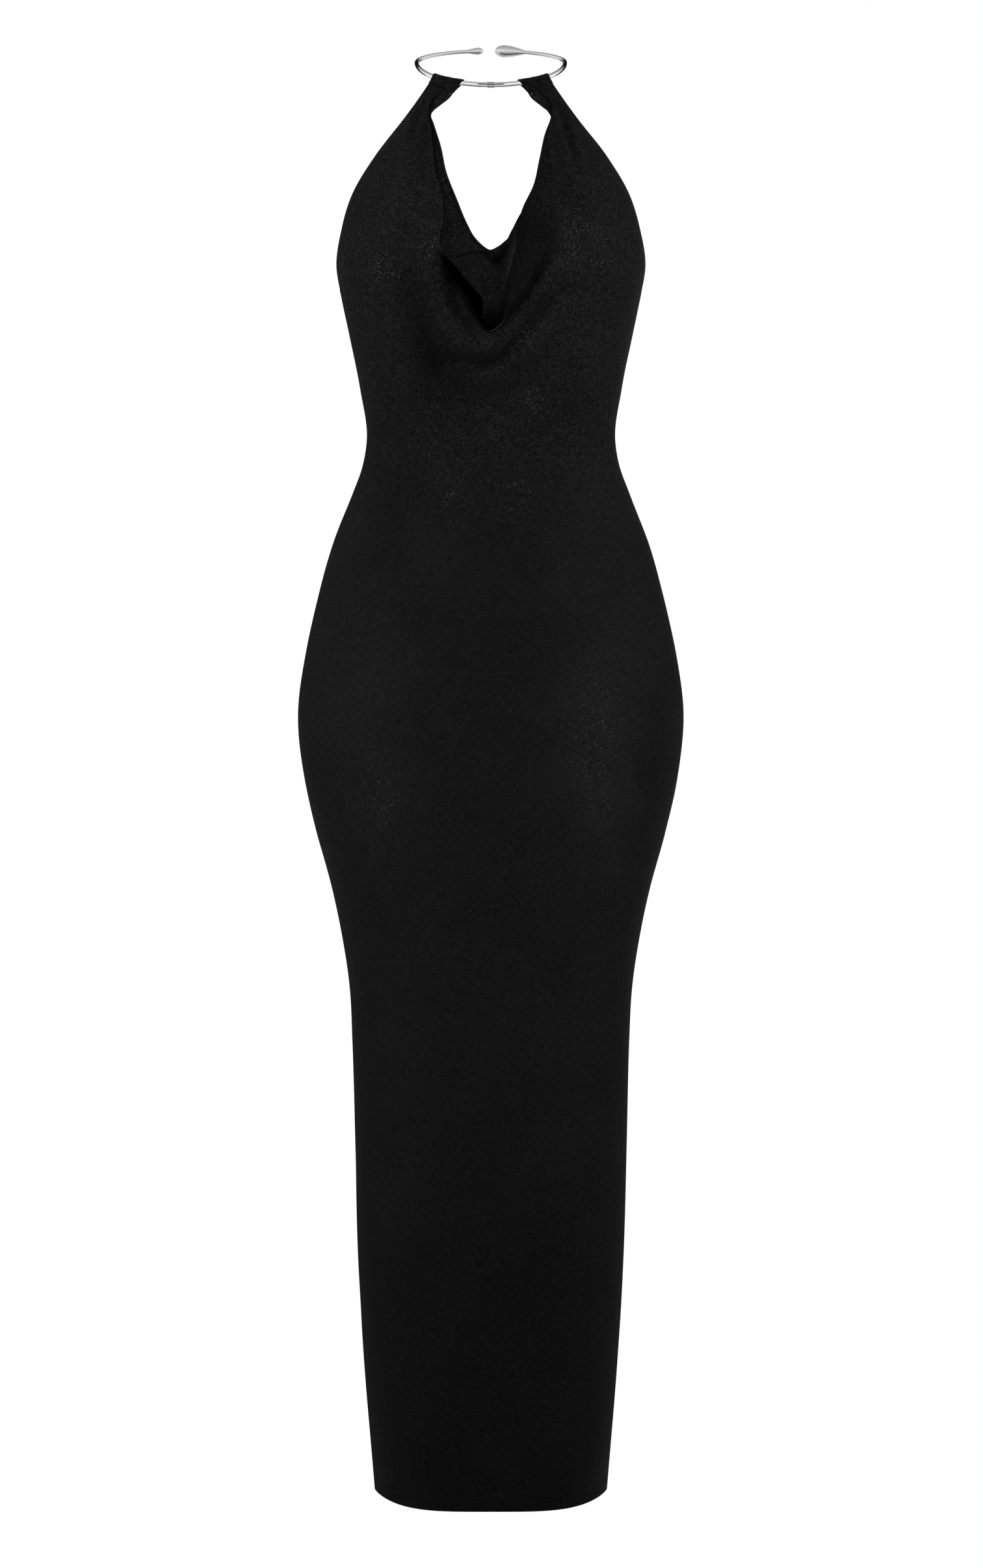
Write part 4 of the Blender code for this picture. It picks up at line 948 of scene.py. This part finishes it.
def casing_cloth(side):
    """A shoulder end folded round the bar: a loop of cloth whose two layers are sewn below it."""
    angles = np.linspace(ring_angle(CASING_OUTER_X), ring_angle(CASING_INNER_X), CASING_COLUMNS + 1)
    centres = ring_point(angles) * np.array([-1, 1, 1])
    share = np.linspace(0, 1, CASING_COLUMNS + 1)[:, None]
    tail = between(np.array(TAIL_OUTER), np.array(TAIL_INNER), share)
    tail[:, 1] += TAIL_BOW * np.sin(np.pi * share[:, 0])
    bottom = front_face(tail[:, 0], tail[:, 1])
    bottom[:, 1] += CASING_MIDDLE
    run = unit(np.gradient(centres, axis=0))
    fall = bottom - centres
    down = unit(fall - run * np.sum(fall * run, axis=1, keepdims=True))
    out = unit(np.cross(run, down))
    out = np.where(out[:, 1:2] > 0, -out, out)
    reach = BAR_RADIUS_FRONT + CASING_EASE + JERSEY_WALL
    # One way round: up the front layer, over the bar and down the back layer.
    layer = np.linspace(1, 0, CASING_ROWS + 1)[:-1]
    near_end = ramp(share, 0.6, 1.0)
    closed = between(CASING_HALF, CASING_END_HALF, near_end)
    bend = between(CASING_BEND, CASING_END_BEND, near_end)
    half = [between(closed, reach, (1 - t) ** bend) for t in layer]
    rows = [centres + fall * t + out * h for t, h in zip(layer, half)]
    ends = share * bump(share, 1.0, 0.07)
    for a in np.linspace(0, math.pi, CASING_TURNS + 1):
        high, low = bump(a, 0.55 * math.pi, 0.5), bump(a, 0.15 * math.pi, 0.5)
        ear = ends * (CASING_EAR * high - 0.5 * CASING_EAR * low)
        rows.append(centres + reach * (math.cos(a) * out - math.sin(a) * down) + run * ear)
    rows += [centres + fall * t - out * h for t, h in zip(layer[::-1], half[::-1])]
    block = np.array(rows)
    run_in = row_lengths(block.transpose(1, 0, 2)).T
    place = np.stack([np.broadcast_to(-share[:, 0] * CASING_FLAT, run_in.shape), run_in], axis=-1)
    cloth = Cloth()
    ids = cloth.add(block, place)
    cloth.join(ids)
    cloth.face_front(CASING_COLUMNS + 1)
    x, _, z = cloth.points.T
    folds, shade = fold_sums(CASING_FOLDS, x, z)
    in_front = np.arange(len(cloth.points)) < (CASING_ROWS + CASING_TURNS // 3) * (CASING_COLUMNS + 1)
    # Painted shade: from the casing's folds on its front, and darker along the sewn edge.
    cloth.shade = np.where(in_front, shade, 1.0)
    cloth.shade[ids[0]] *= CASING_EDGE_SHADE
    cloth.lift(folds * in_front + CASING_RIPPLE * wander(x * 4, z * 4, CASING_SEED))
    if side > 0:
        cloth.points = cloth.points * np.array([-1, 1, 1])
        cloth.face_front(CASING_COLUMNS + 1)
    sewn = ids[CASING_STITCH_ROW]
    return cloth, (cloth.points[sewn], cloth.normals()[sewn])


def stitches(name, lines, material, length=STITCH_LENGTH, pitch=STITCH_PITCH, thread=THREAD):
    """Short threads that dip in and out of the cloth along each line of (points, normals)."""
    span = np.linspace(-0.5, 0.5, THREAD_RINGS)
    around = np.arange(THREAD_SIDES) * 2 * np.pi / THREAD_SIDES
    size = THREAD_RINGS * THREAD_SIDES
    points, cells = [], []
    for line, normals in lines:
        run = running_length(line)
        count = max(1, int(run[-1] // pitch))
        at = (np.arange(count)[:, None] + 0.5) * run[-1] / count + min(length, 0.98 * run[-1]) * span
        middle = np.stack([np.interp(at, run, line[:, c]) for c in range(3)], axis=-1)
        up = unit(np.stack([np.interp(at, run, normals[:, c]) for c in range(3)], axis=-1))
        across = np.cross(unit(np.gradient(middle, axis=1)), up)
        middle = middle + up * (thread * (2.0 * np.cos(np.pi * span) - 1.5))[:, None]
        ring = np.cos(around)[:, None] * across[:, :, None] + np.sin(around)[:, None] * up[:, :, None]
        points.append((middle[:, :, None] + thread * ring).reshape(-1, 3))
        corners = []
        for step in range(0, size - THREAD_SIDES, THREAD_SIDES):
            for k in range(THREAD_SIDES):
                near, far = step + k, step + (k + 1) % THREAD_SIDES
                corners.append([near, far, far + THREAD_SIDES, near + THREAD_SIDES])
        for end, order in ((0, 1), (size - THREAD_SIDES, -1)):
            for cap in ((0, 5, 4, 3), (0, 3, 2, 1)):
                corners.append([end + k for k in cap[::order]])
        first = sum(len(p) for p in points[:-1]) + np.arange(count) * size
        cells += [np.stack([first + corner for corner in cell], axis=1) for cell in corners]
    return make_object(name, np.concatenate(points), np.concatenate(cells), material)


class Value:
    """An output of a shader node that can be used in sums."""

    def __init__(self, shader, socket):
        self.shader = shader
        self.socket = socket

    def sum_with(self, operation, other, swapped=False):
        pair = (other, self) if swapped else (self, other)
        return self.shader.node("ShaderNodeMath", {"operation": operation}, {0: pair[0], 1: pair[1]})

    def __add__(self, other):
        return self.sum_with("ADD", other)

    def __radd__(self, other):
        return self.sum_with("ADD", other, swapped=True)

    def __sub__(self, other):
        return self.sum_with("SUBTRACT", other)

    def __rsub__(self, other):
        return self.sum_with("SUBTRACT", other, swapped=True)

    def __mul__(self, other):
        return self.sum_with("MULTIPLY", other)

    def __rmul__(self, other):
        return self.sum_with("MULTIPLY", other, swapped=True)

    def __truediv__(self, other):
        return self.sum_with("DIVIDE", other)

    def apply(self, operation):
        return self.shader.node("ShaderNodeMath", {"operation": operation}, {0: self})

    def step(self, low, high, smooth=True):
        """0 below low and 1 above high, with a soft or a straight step between."""
        settings = {"interpolation_type": "SMOOTHSTEP" if smooth else "LINEAR"}
        sockets = {"Value": self, "From Min": low, "From Max": high}
        return self.shader.node("ShaderNodeMapRange", settings, sockets)


class Nodes:
    """A node tree, and what adds nodes to it."""

    def __init__(self, tree):
        self.tree = tree

    def node(self, kind, settings, sockets, output=0):
        """Adds a node with its settings and the values or links of its sockets."""
        made = self.tree.nodes.new(kind)
        for setting, value in settings.items():
            setattr(made, setting, value)
        for socket, value in sockets.items():
            self.plug(value, made.inputs[socket])
        return Value(self, made.outputs[output])

    def plug(self, value, socket):
        if isinstance(value, Value):
            self.tree.links.new(value.socket, socket)
        else:
            socket.default_value = value

    def where(self, kind="Object"):
        """Where a point of a piece lies, in metres. In the surround, Generated is the way towards it."""
        return self.node("ShaderNodeTexCoord", {}, {}, output=kind)

    def split(self, vector):
        """The three parts of a vector."""
        return [self.node("ShaderNodeSeparateXYZ", {}, {"Vector": vector}, output=n) for n in "XYZ"]

    def ray(self, kind):
        """1 for what a Camera or a Glossy ray sees, and 0 for other rays."""
        return self.node("ShaderNodeLightPath", {}, {}, output=f"Is {kind} Ray")

    def grain(self, place, size, detail=2.0, roughness=0.5):
        """Noise with lumps of about this size in metres, from 0 to 1."""
        sockets = {"Vector": place, "Scale": 1.0 / size, "Detail": detail, "Roughness": roughness}
        return self.node("ShaderNodeTexNoise", {}, sockets)

    def colour(self, amount, low, high):
        """A colour from low, which may itself change, at 0 to high at 1, and beyond."""
        low = low if isinstance(low, Value) else (*low, 1.0)
        sockets = {"Factor": amount, 6: low, 7: (*high, 1.0)}   # 6 and 7 are its two colours
        return self.node("ShaderNodeMix", {"data_type": "RGBA", "clamp_factor": False}, sockets, output=2)


class Finish(Nodes):
    """A material and its nodes."""

    def __init__(self, name, **constants):
        self.material = bpy.data.materials.new(name)
        self.material.use_nodes = True
        super().__init__(self.material.node_tree)
        self.surface = self.tree.nodes["Principled BSDF"]
        for socket, value in constants.items():
            self.surface.inputs[socket.replace("_", " ")].default_value = value

    def feed(self, **values):
        """Links values that change over the surface to the shader's sockets."""
        for socket, value in values.items():
            self.plug(value, self.surface.inputs[socket.replace("_", " ")])

    def relief(self, height, distance, strength):
        sockets = {"Height": height, "Distance": distance, "Strength": strength}
        self.feed(Normal=self.node("ShaderNodeBump", {}, sockets))


WALE = 0.0017          # the width of a column of knit loops
COURSE = 0.0013        # the height of a row of them
LOOP_MEAN = 0.39
KNIT_DEPTH = 0.0003
SPECK = 0.0017         # the size of the mottle's specks, blotches and wide soft clouds
BLOTCH = 0.0048
CLOUD = 0.06
JERSEY_LIGHT = (0.021, 0.021, 0.0214)
JERSEY_TONE = 0.46     # the mean of the mottle, from 0 to 1
SPECK_MUCH = 1.0       # how strong the specks are below the waist
SPECK_STRETCHED = 1.1  # how much stronger where the bust stretches the knit
BLOTCH_MUCH = 0.3      # the same for the blotches
BLOTCH_STRETCHED = 0.4
CLOUD_MUCH = 0.25
LOOP_MUCH = 0.12       # how strong the loops are, and how much stronger where the painted shade is dark
LOOP_IN_SHADE = 0.4
STRETCHED_FROM, STRETCHED_TO = -0.50, -0.33
TONE_TOP = 1.6         # where the tone ends, and how light it makes the knit: a curve with three parts
LIGHT_LEAST, LIGHT_RISE, LIGHT_CURVE = 0.27, 0.3, 0.85
SPARK = 7.0            # how bright the painted glints are, and the size of their specks and of their patches
SPARK_SIZE = 0.0018
SPARK_PATCH = 0.0052


def jersey_finish():
    """Fine matte black jersey: rows of small loops, mottled, with painted shade and painted glints in its
    colour.
    """
    finish = Finish("black_jersey", Roughness=0.85, Specular_IOR_Level=0.0,
                    Sheen_Weight=0.08, Sheen_Roughness=0.42)
    where = finish.where()
    across, up, _ = finish.split(finish.node("ShaderNodeUVMap", {"uv_map": "cloth"}, {}))
    _, _, height = finish.split(where)
    lean = ((across / WALE).apply("FRACT") - 0.5).apply("ABSOLUTE")
    row = ((up / COURSE + lean * 0.9) * (2 * math.pi)).apply("SINE")
    loops = (1 - lean * 1.6) * (0.65 + row * 0.35)
    fine, blotch, cloud = (finish.grain(where, size) for size in (SPECK, BLOTCH, CLOUD))
    stretched = height.step(STRETCHED_FROM, STRETCHED_TO)
    shade, glint = (finish.node("ShaderNodeAttribute", {"attribute_name": name}, {}, output="Fac")
                    for name in ("shade", "glint"))
    in_painted_shade = 1 - shade.step(0.55, 0.8)
    tone = JERSEY_TONE + (fine - 0.5) * (SPECK_MUCH + stretched * SPECK_STRETCHED)
    tone = tone + (blotch - 0.5) * (BLOTCH_MUCH + stretched * BLOTCH_STRETCHED)
    tone = tone + (cloud - 0.5) * CLOUD_MUCH
    tone = tone + (loops - LOOP_MEAN) * (LOOP_MUCH + in_painted_shade * stretched * LOOP_IN_SHADE)
    tone = tone.step(0.0, TONE_TOP, smooth=False) * TONE_TOP
    # Painted glints: bright specks in the colour where the glint attribute is high.
    glint_specks = finish.grain(where, SPARK_SIZE, 1.0)
    patchy = finish.grain(where, SPARK_PATCH, 1.0).step(0.34, 0.62)
    spark = glint_specks.step(0.56, 0.75) * patchy * glint * SPARK
    light = LIGHT_LEAST + tone * LIGHT_RISE + tone * tone * LIGHT_CURVE
    # The knit's colour: the painted shade darkens it and the painted glints brighten it.
    finish.feed(Base_Color=finish.colour(light * shade + spark, (0.0, 0.0, 0.0), JERSEY_LIGHT))
    finish.relief(loops * 0.6 + fine * 0.5, KNIT_DEPTH, 0.5)
    return finish.material


STEEL = (0.86, 0.86, 0.865)
SATIN_STEEL = (0.74, 0.74, 0.745)
COLLAR_STEEL = (0.58, 0.58, 0.585)
POLISH = 0.13          # the roughness in front
SATIN = 0.38           # and towards the drops
SATIN_FROM, SATIN_TO = -0.012, 0.026
STREAK = 0.0011        # the size of the brushed streaks, how they are drawn out, and of the smears
DRAWN_OUT = (0.12, 0.4, 1.0)
SMEAR = 0.007
REFLECTION_LINE_HALF = 0.0145   # half the length of the dark reflection painted along the bar's front, how high over the bar's middle it lies, square to the ring, and how wide it is
REFLECTION_LINE_RISE = 0.00105  # bar's middle it lies, square to the ring, and how wide it is
REFLECTION_LINE_WIDTH = 0.0008
REFLECTION_LINE_DARK = 0.85


def steel_finish(name, polished):
    """Bright steel, polished in front and brushed to a satin towards the drops."""
    finish = Finish(name, Metallic=1.0)
    where = finish.where()
    across, depth, height = finish.split(where)
    back = depth.step(SATIN_FROM, SATIN_TO)
    drawn_out = finish.node("ShaderNodeVectorMath", {"operation": "MULTIPLY"}, {0: where, 1: DRAWN_OUT})
    streak = finish.grain(drawn_out, STREAK, 3.0, 0.6)
    smear = finish.grain(where, SMEAR)
    amount = back * 0.8 + streak * 0.3 + (smear - 0.5) * 0.3
    # A painted dark reflection: a line of constant height over the ring's tilted plane, on the front of
    # the bar.
    over = height * math.cos(RING_TILT) - depth * math.sin(RING_TILT)
    near = 1 - ((over - REFLECTION_LINE_RISE) / REFLECTION_LINE_WIDTH).apply("ABSOLUTE").step(0.3, 1.0)
    painted_reflection = near * (1 - (across.apply("ABSOLUTE") / REFLECTION_LINE_HALF).step(0.75, 1.0)) * (1 - back)
    dark = [(1 - REFLECTION_LINE_DARK) * part for part in polished]
    roughness = POLISH + back * (SATIN - POLISH) + (streak - 0.5) * 0.12 + (smear - 0.5) * 0.06
    steel = finish.colour(amount, polished, SATIN_STEEL)
    finish.feed(Base_Color=finish.colour(painted_reflection, steel, dark), Roughness=roughness)
    finish.relief(streak, 0.00005, 0.35)
    return finish.material


PLY = 0.0004
BLACK_THREAD = ((0.003, 0.003, 0.003), (0.011, 0.011, 0.0113))
PALE_THREAD = ((0.12, 0.12, 0.12), (0.24, 0.24, 0.24))


def thread_finish(name, dark, light):
    """Sewing thread, a little lighter and darker along its ply."""
    finish = Finish(name, Specular_IOR_Level=0.1, Sheen_Weight=0.05)
    ply = finish.grain(finish.where(), PLY, 1.0)
    finish.feed(Base_Color=finish.colour(ply, dark, light), Roughness=0.5 + ply * 0.2)
    return finish.material


# The camera stands level with the middle of the dress, and takes in the whole of it.
CAMERA_DISTANCE = 3.2
CAMERA_HEIGHT = -0.71008
CAMERA_SIDE = 0.00064
MM_PER_PIXEL = 0.64
FRAME_HEIGHT = 2411
SENSOR = 36.0


def camera():
    eye = set_up("camera", bpy.data.cameras.new("camera"))
    eye.data.sensor_width = SENSOR
    frame_height = FRAME_HEIGHT * MM_PER_PIXEL * MM
    eye.data.lens = SENSOR * CAMERA_DISTANCE / frame_height
    eye.location = (CAMERA_SIDE, -CAMERA_DISTANCE, CAMERA_HEIGHT)
    eye.rotation_euler = (math.radians(90), 0, 0)
    bpy.context.scene.camera = eye


Softbox = namedtuple("Softbox", "name place aim width height power")
SOFTBOXES = [
    Softbox("front_left", (-1.0, -1.6, 0.25), (0, 0, -0.3), 0.8, 0.8, 8.2),
    Softbox("front_right", (1.0, -1.6, 0.25), (0, 0, -0.3), 0.8, 0.8, 20.0),
    Softbox("left_side", (-1.5, -0.3, -0.2), (0, 0, -0.5), 0.6, 1.4, 12.0),
    Softbox("right_side", (1.5, -0.3, -0.2), (0, 0, -0.5), 0.6, 1.4, 5.2),
    Softbox("behind", (0.4, 2.2, 0.5), (0, 0, -0.6), 1.4, 1.2, 18.0),
]
FLOOR = -1.50
FLOOR_HALF = 9.0
FLOOR_GLOW = 0.078     # what light the floor throws up at the dress
FLOOR_SHINE = 0.72     # and how bright the ring mirrors it
SKY_LOW = 0.75         # the surround that the ring mirrors: low down, level with it, and overhead
SKY_LEVEL = 1.2
SKY_HIGH = 0.5
BAR_UP = 0.2           # the dark bar in it: how high, how tall, how much narrower aside, and how dark
BAR_HALF = 0.085
BAR_NARROWS = 0.14
BAR_DARK = 0.85


def hang_softboxes():
    for box in SOFTBOXES:
        light = bpy.data.lights.new(box.name, "AREA")
        light.shape = "RECTANGLE"
        light.size = box.width
        light.size_y = box.height
        light.energy = box.power
        lamp = set_up(box.name, light)
        lamp.location = box.place
        lamp.rotation_euler = (Vector(box.aim) - Vector(box.place)).to_track_quat("-Z", "Y").to_euler()
        lamp.visible_camera = False
        lamp.visible_glossy = False


def lay_floor():
    """A plain white floor."""
    white = Finish("studio_white", Base_Color=(0.02, 0.02, 0.02, 1), Roughness=0.9,
                   Emission_Strength=1.0)
    white.feed(Emission_Color=white.colour(white.ray("Glossy"), [FLOOR_GLOW] * 3, [FLOOR_SHINE] * 3))
    clear = white.node("ShaderNodeEmission", {}, {"Color": (1, 1, 1, 1), "Strength": 1.0})
    lit = Value(white, white.surface.outputs[0])
    mixed = white.node("ShaderNodeMixShader", {}, {0: white.ray("Camera"), 1: lit, 2: clear})
    white.plug(mixed, white.tree.nodes["Material Output"].inputs["Surface"])
    mesh = bpy.data.meshes.new("studio_floor")
    corners = [(x * FLOOR_HALF, y * FLOOR_HALF, FLOOR) for x, y in ((-1, -1), (1, -1), (1, 1), (-1, 1))]
    mesh.from_pydata(corners, [], [(0, 1, 2, 3)])
    mesh.materials.append(white.material)
    ground = set_up("studio_floor", mesh)


def hang_surround():
    """White all round. In the ring's mirror it is lighter above, dark far behind, with one dark bar."""
    world = bpy.data.worlds.new("studio_air")
    world.use_nodes = True
    air = Nodes(world.node_tree)
    across, back, up = air.split(air.where("Generated"))
    sideways = across.apply("ABSOLUTE")
    from_bar = (up - BAR_UP).apply("ABSOLUTE") / (BAR_HALF - sideways * BAR_NARROWS)
    bar = (1 - from_bar.step(0.6, 1.0)) * (1 - sideways.step(0.35, 0.5))
    pale = SKY_LOW + up.step(-0.3, 0.0) * (SKY_LEVEL - SKY_LOW)
    pale = pale + up.step(0.25, 0.65) * (SKY_HIGH - SKY_LEVEL)
    mirrored = pale * (1 - back.step(0.58, 0.68)) * (1 - bar * (1 - back.step(-0.5, 0.0)) * BAR_DARK)
    seen = air.ray("Camera")
    strength = seen + air.ray("Glossy") * mirrored * (1 - seen)
    air.plug(strength, air.tree.nodes["Background"].inputs["Strength"])
    air.plug((1, 1, 1, 1), air.tree.nodes["Background"].inputs["Color"])
    bpy.context.scene.world = world


def studio():
    lay_floor()
    hang_surround()
    hang_softboxes()
    view = bpy.context.scene.view_settings
    view.view_transform = "Standard"
    view.look = "None"


def put(piece, slot, *nodes):
    """The piece rides on the dress, and the solids it takes the place of are hidden."""
    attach(piece, "root")
    if nodes:
        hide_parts(*nodes)
    return piece


TACK_LENGTH = 2.4
TACK_THREAD = 0.4
CASING_TACK = (39.8, -45.0)      # where small light tacks hold the casings and the facing
FACING_TACK = (-35.3, -191.9)


def main():
    jersey = jersey_finish()
    steel = steel_finish("neck_ring_steel", STEEL)
    collar_steel = steel_finish("collar_steel", COLLAR_STEEL)
    black_thread = thread_finish("black_thread", *BLACK_THREAD)
    pale_thread = thread_finish("pale_thread", *PALE_THREAD)

    front, armhole_lines = front_cloth()
    piece = put(front.piece("front_shell", jersey, JERSEY_WALL), "jersey", "front")
    back, back_lines = back_cloth()
    piece = put(back.piece("back_shell", jersey, JERSEY_WALL), "jersey", "back")
    facing = facing_cloth()
    piece = put(facing.piece("facing_shell", jersey, JERSEY_WALL), "jersey", "cowl_facing")

    casing_lines = []
    tack_lines = [facing.dash(*FACING_TACK, 0.6 * TACK_LENGTH)]
    for side, word in ((-1, "left"), (1, "right")):
        cloth, line = casing_cloth(side)
        piece = put(cloth.piece(f"casing_{word}_shell", jersey, JERSEY_WALL), "jersey", f"casing_{word}")
        casing_lines.append(line)
        tack_lines.append(cloth.dash(side * CASING_TACK[0], CASING_TACK[1], TACK_LENGTH))

    put(stitches("armhole_stitches", armhole_lines, black_thread), "jersey")
    put(stitches("back_edge_stitches", back_lines, black_thread), "jersey")
    put(stitches("casing_stitches", casing_lines, black_thread, thread=CASING_THREAD), "jersey")
    put(stitches("tacks", tack_lines, pale_thread, TACK_LENGTH, TACK_LENGTH, TACK_THREAD), "jersey")

    put(ring_half("ring_left_shell", -1, SMALL_DROP, steel), "polished_steel", "ring_left")
    put(ring_half("ring_right_shell", 1, LARGE_DROP, steel), "polished_steel", "ring_right")
    put(ring_collar(collar_steel), "polished_steel", "ring_collar")

    camera()
    studio()


main()
